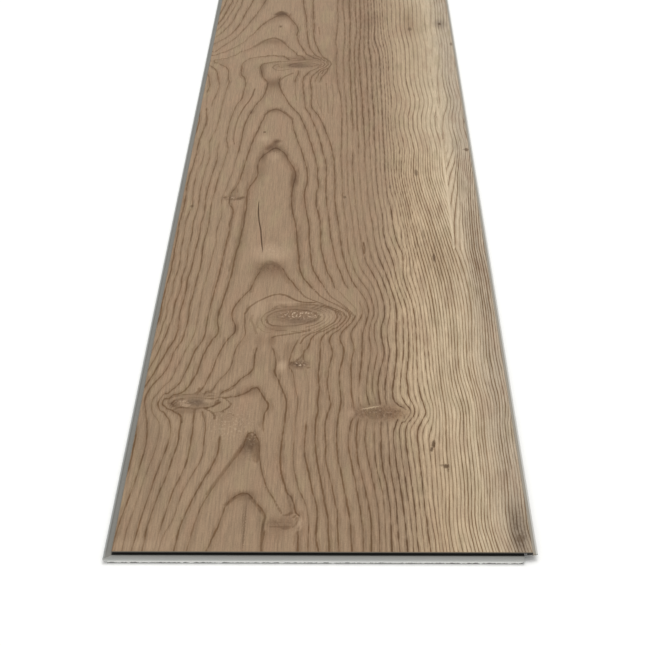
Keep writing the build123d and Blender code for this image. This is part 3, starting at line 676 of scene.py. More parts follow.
# Strokes of the print that aren't whole rings: points, half width and darkness
strokes = [
    ([(-80, 519), (-81.6, 529), (-81.6, 540), (-80.8, 563), (-79.8, 574), (-78.7, 581)], 0.7, 0.55),
    ([(-78.7, 581), (-77.2, 590), (-75.3, 599), (-72.8, 607), (-70.3, 621), (-69, 637)], 0.7, 0.75),
    ([(-30.5, 608), (-32.4, 627), (-32.7, 639), (-33.3, 652)], 0.6, 0.5),
    ([(-9.5, 590), (-12, 605), (-13.3, 621), (-14, 640), (-14.9, 656)], 0.6, 0.35),
    ([(-6, 572), (-8.7, 587), (-9.3, 621), (-10.5, 645)], 0.6, 0.3),
    ([(-2.4, 580), (-3.3, 603), (-3.7, 621), (-4.6, 636), (-5.3, 650)], 0.6, 0.5),
    ([(0.5, 575), (1.5, 600), (1.7, 619), (0.5, 645)], 0.6, 0.35),
    ([(3, 440), (3.6, 470), (2.6, 500)], 0.6, 0.2),
    ([(21, 330), (18, 352), (17, 372)], 0.6, 0.3),
    ([(26, 330), (26.5, 341), (25.6, 350)], 0.8, 0.8),
    ([(-14, 790), (-13.3, 778), (-12.6, 768)], 0.7, 0.5),
    # The eye at -22, 243 and the thin rings round it
    ([(-40.9, 240.5), (-40.1, 244.9), (-36.2, 249.5), (-30.4, 252.4), (-21.9, 253.4)], 0.7, 0.45),
    ([(-21.9, 253.4), (-13.3, 252), (-7.2, 248.7), (-4.2, 244.3)], 0.8, 0.7),
    ([(-40.9, 240.5), (-39.9, 236.2), (-36.8, 232.5), (-30.4, 231.6)], 0.8, 0.7),
    ([(-30.4, 231.6), (-21.2, 232.2), (-12.9, 235.6), (-7.1, 238.9), (-4.2, 244.3)], 0.8, 0.5),
    ([(-8.1, 247.3), (-5.8, 244.9), (-5.9, 242.7), (-8.4, 239.9), (-12.9, 237.2)], 0.8, 0.5),
    ([(-4.8, 258.7), (2.1, 254.8), (7.6, 250.2), (10.2, 245)], 0.7, 0.7),
    ([(-20, 281), (-18.4, 276), (-15.4, 270.2), (-8.4, 264.8), (-1.4, 259.4)], 0.75, 0.7),
    ([(-1.4, 259.4), (6.2, 254.1), (11, 249.5), (13, 244)], 0.75, 0.7),
    ([(-9.6, 281), (-5, 271.5), (0.6, 264.8), (6.8, 259.4), (12.3, 253.5), (15.1, 248.9),
        (15.8, 243.6)], 0.75, 0.75),
    ([(-1.4, 281), (1.9, 271.5), (8.9, 262.1), (14.4, 254.1), (18.6, 245)], 0.7, 0.65),
    ([(6.5, 282), (10, 274), (15, 264), (20, 254), (20.5, 246)], 0.6, 0.4),
    ([(-39.2, 260.7), (-25.5, 261.2), (-10.3, 260.4)], 0.45, 0.3),
    ([(-39, 257.4), (-25.4, 258.4), (-8.2, 256.9)], 0.45, 0.3),
    ([(-42.1, 247.8), (-34.7, 254.6), (-27.1, 256.9), (-19.4, 257.2), (-11.6, 255.8), (-5.6, 252),
        (-2.3, 247.9)], 0.6, 0.5),
    ([(-2.3, 247.9), (-1.2, 243.8), (-2.8, 238.9), (-7.8, 233.6), (-14.5, 230.1)], 0.6, 0.6),
    ([(-42.1, 247.8), (-44.3, 241.3), (-43.2, 234.9), (-39.6, 229.3), (-32.7, 226.4),
        (-26.9, 226.4)], 0.6, 0.45),
    ([(-46.5, 243), (-46.8, 235), (-45.9, 230.1), (-41.9, 224.6), (-36.5, 222.8)], 0.6, 0.35),
    ([(-9.9, 256.9), (-4.8, 254.4), (0, 249.2), (1.8, 243.8), (-0.3, 238.1), (-5.3, 232.1),
        (-11.9, 227.8)], 0.55, 0.45),
    ([(-11.9, 227.8), (-17.7, 225.8), (-23, 225)], 0.6, 0.4),
    ([(-8.3, 258.6), (-2.2, 255.6), (3, 248.7), (4.5, 243.8), (2.4, 237.3), (-2.7, 230.9),
        (-7.7, 226.6)], 0.55, 0.45),
    ([(-18.6, 260), (-6.6, 259.2), (0.6, 256.6), (5.7, 250.8), (7.3, 243.8), (5.2, 236.9),
        (-1, 229.8)], 0.7, 0.75),
    ([(-1, 229.8), (-6.4, 224.6), (-10.9, 222.3), (-15, 217), (-17, 210)], 0.7, 0.7),
    ([(-36, 217), (-34.1, 219.3), (-26.7, 221.2), (-18.5, 223.4), (-11, 226.4)], 0.8, 0.65),
    ([(-38, 254), (-33.1, 258.7), (-26.3, 260.4), (-18.6, 260)], 0.6, 0.4),
    ([(-56, 247), (-53, 257), (-48, 264), (-41, 270.5), (-37, 273.2), (-33, 274)], 0.9, 0.7),
    ([(-33, 274), (-29, 272.6), (-26, 270), (-21.5, 265.5), (-17, 263.2), (-9, 262.3)], 1.0, 0.8),
    ([(-50.4, 246), (-51.4, 239.7), (-49, 233.3), (-46.8, 222.2)], 1.0, 0.3),
    ([(-30, 247.5), (-22, 248.6), (-14, 248)], 0.6, 0.3),
    ([(-36, 240), (-28, 238), (-20, 236.4), (-14, 238)], 0.6, 0.3),
    ([(-31, 242), (-24, 240.6), (-17, 240)], 0.6, 0.4),
    # The eye at -80, 141
    ([(-95.3, 141), (-93.5, 144.5), (-87.4, 146.5), (-79.6, 146.8), (-72.6, 146.2), (-67, 144.8),
        (-65, 142)], 0.7, 0.75),
    ([(-95.3, 141), (-93.6, 137.4), (-88, 136), (-81, 135.2), (-74.8, 135.7), (-69.6, 137.4),
        (-65, 142)], 0.8, 0.85),
    ([(-93, 141.3), (-91.5, 143.5), (-88, 144.6)], 0.6, 0.5),
    ([(-93, 141.3), (-91.2, 138.8), (-88, 137.7)], 0.6, 0.55),
    ([(-91, 141.3), (-90, 142.7), (-90.2, 139.9)], 0.6, 0.45),
    ([(-97.5, 141.5), (-97.5, 145.8), (-93.9, 148.6), (-87.8, 150.7), (-80, 151.4)], 0.7, 0.55),
    ([(-80, 151.4), (-72.2, 151.7), (-65.9, 151.4), (-61.4, 154.2), (-58.4, 157),
        (-57, 162)], 0.7, 0.6),
    ([(-97.5, 141.5), (-95.5, 136), (-91, 134)], 0.7, 0.4),
    ([(-67.2, 148), (-60.9, 147.5), (-54.8, 148.7), (-50.2, 151.4), (-46.5, 155.6),
        (-43.5, 157.7)], 0.8, 0.7),
    ([(-73, 149), (-67.2, 148)], 0.7, 0.4),
    ([(-64.8, 147.3), (-61.6, 145.2), (-58.1, 140.4), (-59.4, 136.4), (-62.7, 133)], 0.7, 0.7),
    ([(-66.5, 146.3), (-64.8, 147.3)], 0.6, 0.4),
    ([(-94.7, 132.9), (-90.6, 130.7), (-88, 126.9), (-87, 120)], 0.8, 0.75),
    ([(-74.8, 135.7), (-70.7, 132.3), (-64.5, 131.6), (-58.2, 130.3), (-55, 127)], 0.6, 0.5),
    ([(-74, 135), (-69.9, 131.6), (-67.7, 128.3), (-67.4, 124)], 0.8, 0.75),
    ([(-75.2, 130.5), (-73.5, 127), (-73.2, 122)], 0.8, 0.45),
    ([(-80.5, 134), (-80, 129), (-79.8, 122)], 0.8, 0.55),
    ([(-67.8, 141.8), (-66.6, 140.8)], 1.1, 0.8),
    ([(-79.5, 157.5), (-79, 154.5), (-81, 152)], 1.2, 0.6),
    ([(-76.5, 151.5), (-71.5, 154), (-69.5, 159)], 0.8, 0.6),
    # The eye at -26, 692 with its small oval on the left, the rings at its right tip and the pocket
    ([(-40.7, 689.6), (-37.8, 693.7), (-28.6, 697.7), (-17.7, 696), (-11.4, 691.5)], 0.9, 0.55),
    ([(-40.7, 689.6), (-32.9, 686.8), (-20.6, 687.2), (-11.4, 691.5)], 0.9, 0.5),
    ([(-50, 694), (-53.5, 690.9), (-55.2, 685.7), (-51.9, 679.6), (-46.6, 678.4),
        (-40, 681)], 0.8, 0.5),
    ([(-50, 690.5), (-48.8, 687), (-46.1, 686)], 0.8, 0.5),
    ([(-22, 704.5), (-14.7, 703), (-8.8, 698.5), (-6.6, 693.5), (-8.6, 688), (-14.3, 683),
        (-19, 678)], 0.7, 0.65),
    ([(-18, 708), (-11.7, 706.5), (-5.8, 701), (-3.6, 693.5), (-6, 686.5), (-11, 681),
        (-14, 674)], 0.7, 0.7),
    ([(-19.6, 716), (-10.1, 709.9), (-2.6, 701.6), (-0.8, 693.4), (-3, 685.4), (-7.5, 679),
        (-9.5, 670)], 0.7, 0.7),
    ([(-24, 700.5), (-16, 700), (-11, 696.5), (-9.7, 692.5), (-13, 686)], 0.7, 0.45),
    ([(-64.1, 693.8), (-55, 697.8), (-42.6, 700.8), (-30, 702.5), (-22, 704.5)], 0.9, 0.55),
    ([(-64.1, 693.8), (-65.2, 687.8), (-65, 675.7), (-62.8, 661.9), (-59, 652)], 2.2, 0.4),
    ([(-59, 652), (-57, 646), (-58, 640)], 1.3, 0.4),
    ([(-47, 640), (-48.5, 647), (-47, 656), (-43, 664), (-36, 672)], 1.2, 0.5),
    ([(-68.1, 711.5), (-55.6, 714.4), (-43, 710.1), (-30.3, 705.9), (-22, 704.5)], 0.8, 0.6),
    # The arches past it
    ([(-75, 737), (-70.6, 744), (-66.2, 752), (-61, 758), (-56.9, 760), (-52.5, 757), (-48.9, 752),
        (-45.5, 745)], 2.0, 0.5),
    ([(-68.8, 795.2), (-64.5, 807), (-58.3, 816), (-50.1, 820), (-43.1, 811),
        (-38.6, 795)], 1.3, 0.5),
    ([(-56.5, 824), (-52.5, 832), (-48, 826)], 2.8, 0.7),
    ([(-52, 821), (-52.3, 828)], 3.2, 0.6),
    # The soft knot at 36, 131 and the rings that turn its right tip
    ([(21.2, 148), (21.2, 142.5), (22.4, 137.1)], 0.6, 0.5),
    ([(16.8, 143.6), (16.8, 138.1), (18, 134.9)], 0.6, 0.45),
    ([(45.3, 139.3), (49.5, 135), (53, 131.8), (51, 125.9)], 0.6, 0.4),
    ([(17.5, 139), (18.3, 134), (20, 131), (18, 126), (15.5, 121)], 0.9, 0.35),
    # The eye at -23, 24
    ([(-22.1, 31.4), (-17.1, 33.2), (-14.2, 29.6), (-11.9, 26.1), (-11.8, 22.6),
        (-13.4, 19.2)], 0.6, 0.6),
    ([(-23.9, 34), (-22.1, 31.4), (-18.1, 30.5), (-14.7, 27.9), (-14.1, 25.2),
        (-14.6, 22.6)], 0.6, 0.5),
    ([(-33.9, 33.1), (-31.5, 28.2), (-26.4, 27.8)], 0.7, 0.5),
    ([(-28, 24.3), (-23.5, 24.8), (-17.9, 23.9)], 0.45, 0.45),
    ([(-28.9, 21.3), (-17.8, 20.9)], 0.8, 0.4),
    ([(-21.2, 54), (-19.8, 46.6), (-17.8, 38.5), (-17.1, 33.2)], 0.9, 0.4),
    ([(-22.5, 18.5), (-18, 19.6), (-16, 21)], 0.6, 0.35),
    ([(-33, 57), (-28.5, 46.6), (-26.2, 41), (-23.9, 35)], 0.8, 0.6),
    ([(-35.2, 35.8), (-32.1, 30.2), (-32.9, 22.6), (-33.3, 11.8), (-32.8, 0.4)], 0.9, 0.7),
    # The dark tip at -42, 100, its arms, and the purple band over the arch below it
    ([(-44.8, 108.5), (-46.7, 100.3), (-49.3, 93.3), (-52.4, 85.4)], 1.9, 0.6),
    ([(-52.4, 85.4), (-55.9, 76.6), (-58.9, 68.9), (-66, 50)], 1.4, 0.5),
    ([(-43.9, 108), (-41.6, 104), (-40, 97.3), (-39.2, 87.4), (-39.1, 80.5)], 1.6, 0.55),
    ([(-43.3, 104.4), (-43.6, 95.3)], 3.0, 0.55),
    ([(-42, 92), (-40, 82)], 1.8, 0.35),
    ([(-54.9, 39.7), (-51.3, 45.9), (-45.9, 50.2), (-41.4, 47.5), (-36.8, 39.8),
        (-33.5, 33)], 1.6, 0.6),
    # The broad legs of the tall arches
    ([(-45.8, 509.6), (-51.5, 505.8), (-55.9, 494.4), (-58.5, 481.3), (-59, 468.4)], 2.6, 0.3),
    ([(-59, 468.4), (-61.1, 454), (-64.3, 439.8), (-65.9, 425.9)], 1.8, 0.3),
    ([(-43.1, 525.2), (-47.9, 519.4), (-51.6, 509.7)], 2.8, 0.45),
    ([(-44.7, 508.5), (-39, 503.9), (-35.3, 492.4), (-32.5, 479.4), (-29.6, 466.5), (-29.9, 448.5),
        (-29.5, 430)], 1.5, 0.5),
    ([(-69.5, 488.8), (-71.4, 466.6), (-72.8, 450.4), (-75.1, 436.3), (-78.4, 425.9)], 1.3, 0.35),
    ([(-57.3, 578.4), (-53.3, 587.4), (-48, 591), (-40.2, 584), (-33.2, 569.5)], 1.5, 0.65),
    ([(-29.5, 417.3), (-26.6, 384.2), (-22.9, 352.6), (-21.1, 322.5)], 1.1, 0.35),
    ([(-65.4, 417.4), (-65.2, 400.6), (-65.6, 381), (-65.9, 360.4), (-66.4, 345), (-68.8, 325.4),
        (-70.4, 305)], 1.0, 0.45),
    ([(-75.9, 412.3), (-73.6, 400.6), (-73.6, 376.2), (-74.3, 352.7), (-75.9, 332.9)], 1.1, 0.5),
    ([(-54, 278), (-51.8, 292), (-48, 307), (-44.5, 315), (-41, 318), (-37, 314), (-32, 305),
        (-27, 290)], 2.6, 0.35),
    ([(-82.2, 421.7), (-75.5, 423.8), (-67.6, 421.6), (-60.7, 419.5)], 0.9, 0.65),
    ([(-81, 419.5), (-75.5, 419), (-69, 418.5)], 0.8, 0.6),
    # The small dark eyes at -17, 185 and -75, 421
    ([(-24, 183.6), (-22.6, 187), (-20, 188.6), (-17, 192), (-14.5, 198)], 0.9, 0.6),
    ([(-19, 183.4), (-15.5, 183.2)], 1.4, 0.8),
    ([(-10, 182), (-11.5, 181)], 1.0, 0.6),
    ([(-80.5, 423.5), (-81, 420)], 1.0, 0.6),
    ([(-78, 419.5), (-75.5, 418)], 1.0, 0.5),
    ([(-70.3, 420.5), (-70, 418.5)], 1.0, 0.5),
    ([(-62, 419), (-61.5, 417.5)], 1.0, 0.4),
    ([(-78, 424), (-76.5, 431), (-74, 438)], 0.9, 0.4),
    ([(-72.8, 438), (-72, 430)], 0.8, 0.35),
]
# Soft darker places: middle, half sizes, turn in degrees, and how dark
brown_shades = [
    (-43.5, 96, 7, 13, 0, 0.2),
    (-45, 49, 11, 5, 0, 0.35),
    (-47, 155, 8, 6, 20, 0.4),
    (-42, 314, 11, 8, 0, 0.55),
    (-42, 304, 14, 9, 0, 0.35),
    (-24, 245, 16, 9.5, 0, 0.55),
    (-33, 229, 8, 5.5, 0, 0.5),
    (-20, 254, 15, 4, 0, 0.45),
    (-36, 214, 3, 8, 0, 0.6),
    (-44, 213, 4, 8, 0, 0.35),
    (-61, 229, 2.5, 7, 0, 0.5),
    (-81, 141, 16, 5.5, 0, 0.45),
    (-93, 141, 4, 5, 0, 0.5),
    (-85, 133, 9, 3.5, 0, 0.5),
    (-82, 149, 14, 2.5, 0, 0.4),
    (-62, 128, 7, 10, 0, 0.25),
    (36, 131, 18, 10, 0, 0.75),
    (42, 131, 9, 7, 0, 0.45),
    (22, 131, 6, 7, 0, 0.3),
    (-24, 23.5, 9.5, 6.5, 0, 0.5),
    (-19, 40, 3, 14, 0, 0.3),
    (-24.5, 14, 5, 5, 0, 0.25),
    (-17, 185, 6.5, 5, 20, 0.8),
    (-22.5, 184.5, 2.2, 3.5, 0, 0.5),
    (-75, 421, 8, 4, 0, 0.5),
    (-74, 431, 4, 9, 0, 0.35),
    (-28, 452, 3.5, 16, 0, 0.55),
    (-66, 462, 3.2, 20, 0, 0.3),
    (-54, 470, 4, 18, 0, 0.3),
    (-66, 360, 3, 60, 0, 0.2),
    (-20, 370, 3, 60, 0, 0.2),
    (-47, 512, 9, 7, 0, 0.6),
    (-55, 497, 4, 12, 0, 0.45),
    (-38, 500, 4, 10, 0, 0.35),
    (-60, 480, 3, 16, 0, 0.15),
    (-27.5, 420, 2.5, 30, 0, 0.3),
    (-45.5, 525, 3, 4, 0, 0.9),
    (-46, 516, 1.8, 8, 0, 0.5),
    (-48.5, 590, 8, 6, 0, 0.35),
    (-69.3, 585, 2, 4, 0, 0.7),
    (-53, 650, 6, 11, 0, 0.55),
    (-64.3, 680, 2.5, 16, 0, 0.35),
    (-32, 692, 11, 7, 0, 0.6),
    (-18, 690, 7, 8, 0, 0.2),
    (-28, 707, 17, 7, 0, 0.5),
    (-46, 690, 9, 9, 0, 0.3),
    (-58, 750, 12, 6, 0, 0.3),
    (83, 322, 14, 36, 0, 0.3),
    (78, 805, 18, 60, 0, 0.35),
    (84, 700, 14, 60, 0, 0.2),
    (-52, 824, 9, 6, 0, 0.4),
    (-51.5, 791, 2, 3, 0, 0.6),
    (-72, 863, 4, 10, 0, 0.4),
    (40, 808, 12, 26, 0, 0.3),
    (14, 862, 8, 26, 0, 0.35),
    (75, 800, 5, 28, 0, 0.4),
    (3, 700, 26, 50, 0, 0.15),
]
# The same for greyer, colder places
grey_shades = [
    (-80, 142, 6, 3.5, 0, 0.8),
    (-15, 239, 10, 4.5, 0, 0.45),
    (-22, 233, 4, 6, 0, 0.3),
    (-17, 185, 5, 4, 0, 0.35),
    (-44.5, 97, 4, 8, 0, 0.5),
    (-31, 690, 10, 6, 0, 0.4),
    (109, 14, 5, 20, 0, 0.8),
    (109, 34, 4, 18, 0, 0.4),
    (105, 22, 3, 22, 0, 0.35),
    (104.7, 797, 6, 12, 0, 0.7),
    (-105, 95, 9, 60, 10, 0.25),
    (-64, 240, 3, 3, 0, 0.1),
    (-2, 255, 10, 12, 0, 0.2),
    (-51, 829, 4, 5, 0, 0.4),
    (-43, 30, 3, 30, 0, 0.15),
    (-35, 22, 3, 12, 0, 0.2),
]
# And for paler ones
pale_shades = [
    (-46, 497, 6, 8, 0, 0.3),
    (-42, 334, 14, 12, 0, 0.3),
    (-28, 184, 3, 5, 0, 0.5),
    (-47, 255, 5, 14, 0, 0.25),
    (-30, 262, 9, 3, 0, 0.2),
    (0, 243, 5, 9, 0, 0.25),
    (-89, 142, 3, 3, 0, 0.35),
    (-86, 138.5, 3, 1.5, 0, 0.4),
    (-73, 143, 4, 2, 0, 0.35),
    (16, 130, 3, 5, 0, 0.25),
    (-74.5, 420.3, 1.2, 1.2, 0, 0.7),
    (-17.5, 186, 1, 1, 0, 0.4),
    (-15.2, 186.3, 1.2, 1, 0, 0.4),
    (-12.5, 24, 1.2, 5, 0, 0.5),
    (-56, 530, 5, 6, 0, 0.3),
    (-46, 800, 5, 14, 0, 0.2),
    (-20, 44, 2, 3, 0, 0.1),
    (95, 300, 5, 500, 0, 0.15),
    (-100, 5, 20, 5, 0, 0.15),
]

# Where a knot's wood is speckled dark, and where it has fine pale flecks
knot_speckles = [
    (36, 131, 17, 8, 0, 0.9),
    (-23, 244, 16, 8, 0, 0.6),
    (-81, 141, 14, 5, 0, 0.6),
    (-17, 185, 6, 4.5, 0, 0.8),
    (-29, 691, 13, 7, 0, 0.6),
    (-44, 96, 7, 14, 0, 0.5),
    (-24, 24, 9, 6, 0, 0.5),
    (-47, 508, 10, 14, 0, 0.5),
    (-42, 312, 11, 9, 0, 0.7),
    (-75, 420, 8, 4, 0, 0.6),
    (-52, 824, 8, 8, 0, 0.5),
    (109, 16, 5, 20, 0, 0.6),
]
pale_flecks = [
    (-18, 246.5, 13, 5, 0, 0.9),
    (-16, 185.5, 4, 3, 0, 0.9),
    (-75, 420.3, 4, 1.5, 0, 0.9),
    (-87, 141, 6, 3, 0, 0.5),
    (32, 132, 15, 7, 0, 0.2),
    (-43, 104, 3, 6, 0, 0.3),
    (-41, 336, 12, 13, 0, 0.25),
    (-57, 120, 14, 18, 0, 0.3),
]


def stroke_layer(drawn):
    """How many half widths away the nearest stroke is, and how dark that one is."""
    out_of_reach = 5.0
    nearest = np.full(x_mm.shape, out_of_reach)
    nearest_dark = np.zeros(x_mm.shape)
    for points, half, darkness in drawn:
        gap = np.full(x_mm.shape, np.inf)
        for (x0, v0), (x1, v1) in zip(points, points[1:]):
            run_x, run_v = x1 - x0, v1 - v0
            share = ((x_mm - x0) * run_x + (v_mm - v0) * run_v) / (run_x**2 + run_v**2)
            share = np.clip(share, 0, 1)
            gap = np.minimum(gap, np.hypot(x_mm - x0 - share * run_x, v_mm - v0 - share * run_v))
        closer = gap / half < nearest
        nearest = np.where(closer, gap / half, nearest)
        nearest_dark = np.where(closer, darkness, nearest_dark)
    return nearest, nearest_dark


def shade_layer(shades):
    """Soft ellipses added up, never past 1."""
    clear = np.ones(x_mm.shape)
    for x, v, half_x, half_v, turn, amount in shades:
        along_x, along_v = np.cos(np.radians(turn)), np.sin(np.radians(turn))
        across_eye = ((x_mm - x) * along_x + (v_mm - v) * along_v) / half_x
        up_eye = ((v_mm - v) * along_x - (x_mm - x) * along_v) / half_v
        clear *= 1 - amount * np.exp(-((across_eye**2 + up_eye**2) ** 1.5))
    return 1 - clear


stroke_gap, stroke_dark = stroke_layer(strokes)
brown_shade = shade_layer(brown_shades)
grey_shade = shade_layer(grey_shades)
pale_shade = shade_layer(pale_shades)

# The one open check of the board, a dark crack
crack_v = [325, 337, 352, 369, 381, 397, 412, 425]
crack_x = [-48.6, -48, -49.5, -50.8, -52.6, -54, -54.5, -54.5]
crack_gap = x_mm - np.interp(v_mm, crack_v, crack_x)
crack_open = window(v_mm, 338, 412, 26)

painted = {
    "near_ring": np.stack([near_numbers, near_slopes, near_strengths], -1),
    "far_ring": np.stack([far_numbers, far_slopes, far_strengths], -1),
    "stroke_marks": np.stack([stroke_gap, stroke_dark, shade_layer(knot_speckles)], -1),
    "crack_marks": np.stack([crack_gap, crack_open, shade_layer(pale_flecks)], -1),
    "shades": np.stack([brown_shade, grey_shade, pale_shade], -1),
}
# Each corner takes the values of its own column and row, and one on the rim those of the nearest
column_slack, row_slack = 0.0004, 0.0005
places = np.array([corner.co for corner in vinyl_mesh.vertices])
column_of = np.clip(np.searchsorted(columns, places[:, 0] - column_slack), 0, across)
row_of = np.clip(np.searchsorted(rows, places[:, 1] - row_slack), 0, along)
for name, values in painted.items():
    layer = vinyl_mesh.attributes.new(name, "FLOAT_VECTOR", "POINT")
    layer.data.foreach_set("vector", values[row_of, column_of].astype(np.float32).ravel())

grain = Finish("printed_grain_finish", 0.55, 0.15)
place = grain.add("TexCoord").outputs["Object"]
x, y, z = grain.add("SeparateXYZ", {"Vector": place}).outputs
x = grain.sum("MULTIPLY", x, 1000.0)
v = grain.sum("MULTIPLY_ADD", y, 1000.0, half_length * 1000)
at = grain.add("CombineXYZ", {"X": x, "Y": v}).outputs["Vector"]

# Noise drawn out along the board: the rings' tremble, the fibres between them, and clouds of tint
tremble = grain.noise(grain.stretch(at, (0.5, 0.07, 1)), 1.0, 2.0)
fibres = grain.noise(grain.stretch(at, (0.9, 0.03, 1)), 1.0, 3.0, 0.6)
fine_fibres = grain.noise(grain.stretch(at, (2.1, 0.12, 1)), 1.0, 2.0, 0.6)
clouds = grain.noise(grain.stretch(at, (0.035, 0.011, 1)), 1.0, 3.0)
tint_clouds = grain.noise(grain.stretch(at, (0.05, 0.014, 3)), 1.7, 2.0)
# Where the wood on the right darkens a little and its rings thin out
thinned = grain.sum("MULTIPLY", grain.ease(x, 48.0, 56.0), grain.ease(v, 470.0, 540.0))


def rings_of(name):
    """Darkness of the rings that one painted layer holds: a crisp line, and a soft shade before it."""
    layer = grain.add("Attribute", attribute_name=name).outputs["Vector"]
    number, slope, strength = grain.add("SeparateXYZ", {"Vector": layer}).outputs
    shaken = grain.sum("MULTIPLY_ADD", tremble, 0.5, -0.25)
    number = grain.sum("MULTIPLY_ADD", shaken, grain.sum("MULTIPLY", slope, 1.5), number)
    nearest = grain.sum("ROUND", number)
    off = grain.sum("SUBTRACT", number, nearest)
    gap = grain.sum("DIVIDE", grain.sum("ABSOLUTE", off), slope)
    # Where they thin out, every second ring is all but gone and the others are softer
    skipped = grain.ease(grain.sum("MODULO", nearest, 2.0), 0.2, 0.8, 0.25, 0.85)
    skipped = grain.sum("MULTIPLY", skipped, thinned)
    strength = grain.sum("MULTIPLY", strength, grain.sum("SUBTRACT", 1.0, skipped))
    # Each ring has its own weight, which swells and breaks along the board
    own = grain.add("TexWhiteNoise", {"W": nearest}, noise_dimensions="1D").outputs["Value"]
    weight = grain.ease(own, 0.0, 1.0, 0.75, 1.15)
    along_noise = grain.noise(grain.stretch(at, (0.3, 0.022, 1)), 1.0, 2.0)
    along_noise = grain.ease(along_noise, 0.3, 0.7, 0.82, 1.15)
    dashes = grain.noise(grain.stretch(at, (0.7, 0.09, 1)), 1.0, 2.0)
    calm = grain.ease(x, 56.0, 72.0, 0.8, 0.2)
    dashes = grain.sum("MULTIPLY_ADD", grain.ease(dashes, 0.3, 0.7, -0.4, 0.4), calm, 1.0)
    along_noise = grain.sum("MULTIPLY", along_noise, dashes)
    weight = grain.sum("MULTIPLY", grain.sum("MULTIPLY", weight, along_noise), strength)
    half = grain.sum("MULTIPLY_ADD", weight, 0.75, 0.15)
    fine = grain.ease(slope, 0.15, 0.4, 1.0, 0.6)
    half = grain.sum("MULTIPLY", half, grain.sum("MULTIPLY_ADD", thinned, 0.35, fine))
    # The crisp line, a halo round it, and the shade that rises towards it from inside
    line = grain.ease(gap, grain.sum("MULTIPLY", half, 0.2), half, 1.0, 0.0)
    line = grain.sum("MULTIPLY", line, grain.sum("MINIMUM", weight, 1.25))
    halo = grain.ease(gap, half, grain.sum("MULTIPLY", half, 3.2), 0.3, 0.0)
    line = grain.sum("MAXIMUM", line, grain.sum("MULTIPLY", halo, weight))
    before = grain.ease(off, -0.38, 0.0)
    before = grain.sum("MULTIPLY", before, grain.ease(off, 0.0, 0.06, 1.0, 0.0))
    before = grain.sum("MULTIPLY", before, grain.sum("MULTIPLY", strength, 0.3))
    return grain.sum("MAXIMUM", line, before)


past = grain.ease(v, *change_over)
near_dark = grain.sum("MULTIPLY", rings_of("near_ring"), grain.sum("SUBTRACT", 1.0, past))
dark = grain.sum("MULTIPLY_ADD", rings_of("far_ring"), past, near_dark)
# The single strokes, with edges shaken by the fibres
marks = grain.add("Attribute", attribute_name="stroke_marks").outputs["Vector"]
stroke_away, stroke_share, speckle_share = grain.add("SeparateXYZ", {"Vector": marks}).outputs
stroke_away = grain.sum("MULTIPLY_ADD", fine_fibres, 0.5, grain.sum("SUBTRACT", stroke_away, 0.25))
stroke = grain.sum("MULTIPLY", grain.ease(stroke_away, 0.3, 1.5, 1.25, 0.0), stroke_share)
dark = grain.sum("MAXIMUM", dark, stroke)
marks = grain.add("Attribute", attribute_name="crack_marks").outputs["Vector"]
crack, crack_window, fleck_share = grain.add("SeparateXYZ", {"Vector": marks}).outputs

# Ground colours, from the brown left to the pale sapwood and the greyer right edge
stops = [
    (-114, (146, 123, 98)),
    (-40, (145, 121, 96)),
    (30, (146, 122, 97)),
    (46, (158, 135, 109)),
    (56, (173, 150, 121)),
    (66, (185, 162, 132)),
    (78, (194, 173, 143)),
    (92, (201, 183, 154)),
    (101, (191, 174, 148)),
    (110, (184, 168, 146)),
]
ramp = grain.add("ValToRGB")
wavy = grain.sum("MULTIPLY_ADD", clouds, 14.0, grain.sum("SUBTRACT", x, 7.0))
# From 100 mm on the pale wood reaches further left, and less so past 250 mm
reach = grain.ease(v, 70.0, 150.0, 0.0, 10.0)
reach = grain.sum("SUBTRACT", reach, grain.ease(v, 210.0, 420.0, 0.0, 8.0))
reach = grain.sum("MULTIPLY", reach, grain.ease(x, 70.0, 90.0, 1.0, 0.0))
wavy = grain.sum("ADD", wavy, grain.sum("MULTIPLY", reach, grain.ease(x, 30.0, 48.0)))
half_mm = half_width * 1000
grain.tree.links.new(grain.ease(wavy, -half_mm, half_mm), ramp.inputs["Fac"])
while len(ramp.color_ramp.elements) < len(stops):
    ramp.color_ramp.elements.new(0.5)
for element, (stop, colour) in zip(ramp.color_ramp.elements, stops):
    share = (stop + half_mm) / (2 * half_mm)
    element.position = share * share * (3 - 2 * share)
    element.color = linear(*colour)
ground = ramp.outputs["Color"]
# Darker where the rings thin out, and faintly red or green in clouds
darker = grain.mix(1.0, ground, (0.86, 0.86, 0.86, 1), "MULTIPLY")
ground = grain.mix(thinned, ground, darker)
ground = grain.mix(grain.ease(tint_clouds, 0.5, 0.72, 0, 0.3), ground, linear(152, 120, 96))
ground = grain.mix(grain.ease(tint_clouds, 0.48, 0.28, 0, 0.3), ground, linear(148, 134, 101))
# Fibres and mottle lighten and darken it by a few hundredths
streak = grain.ease(fibres, 0.3, 0.7, 0.88, 1.12)
streak = grain.sum("MULTIPLY", streak, grain.ease(fine_fibres, 0.3, 0.7, 0.92, 1.08))
mottle = grain.noise(grain.stretch(at, (1.1, 0.75, 1)), 1.0, 3.0, 0.7)
streak = grain.sum("MULTIPLY", streak, grain.ease(mottle, 0.3, 0.7, 0.93, 1.07))
streak_colour = grain.add("CombineXYZ", {"X": streak, "Y": streak, "Z": streak}).outputs["Vector"]
ground = grain.mix(1.0, ground, streak_colour, "MULTIPLY")
# The rings stain it, more strongly in the pale wood
ring_colour = grain.mix(grain.ease(x, 15.0, 52.0), (0.47, 0.37, 0.26, 1), (0.30, 0.22, 0.15, 1))
ring_colour = grain.mix(grain.ease(x, 56.0, 72.0), ring_colour, (0.32, 0.24, 0.165, 1))
ringed = grain.mix(1.0, ground, ring_colour, "MULTIPLY")
surface = grain.mix(grain.sum("MINIMUM", dark, 1.0), ground, ringed)
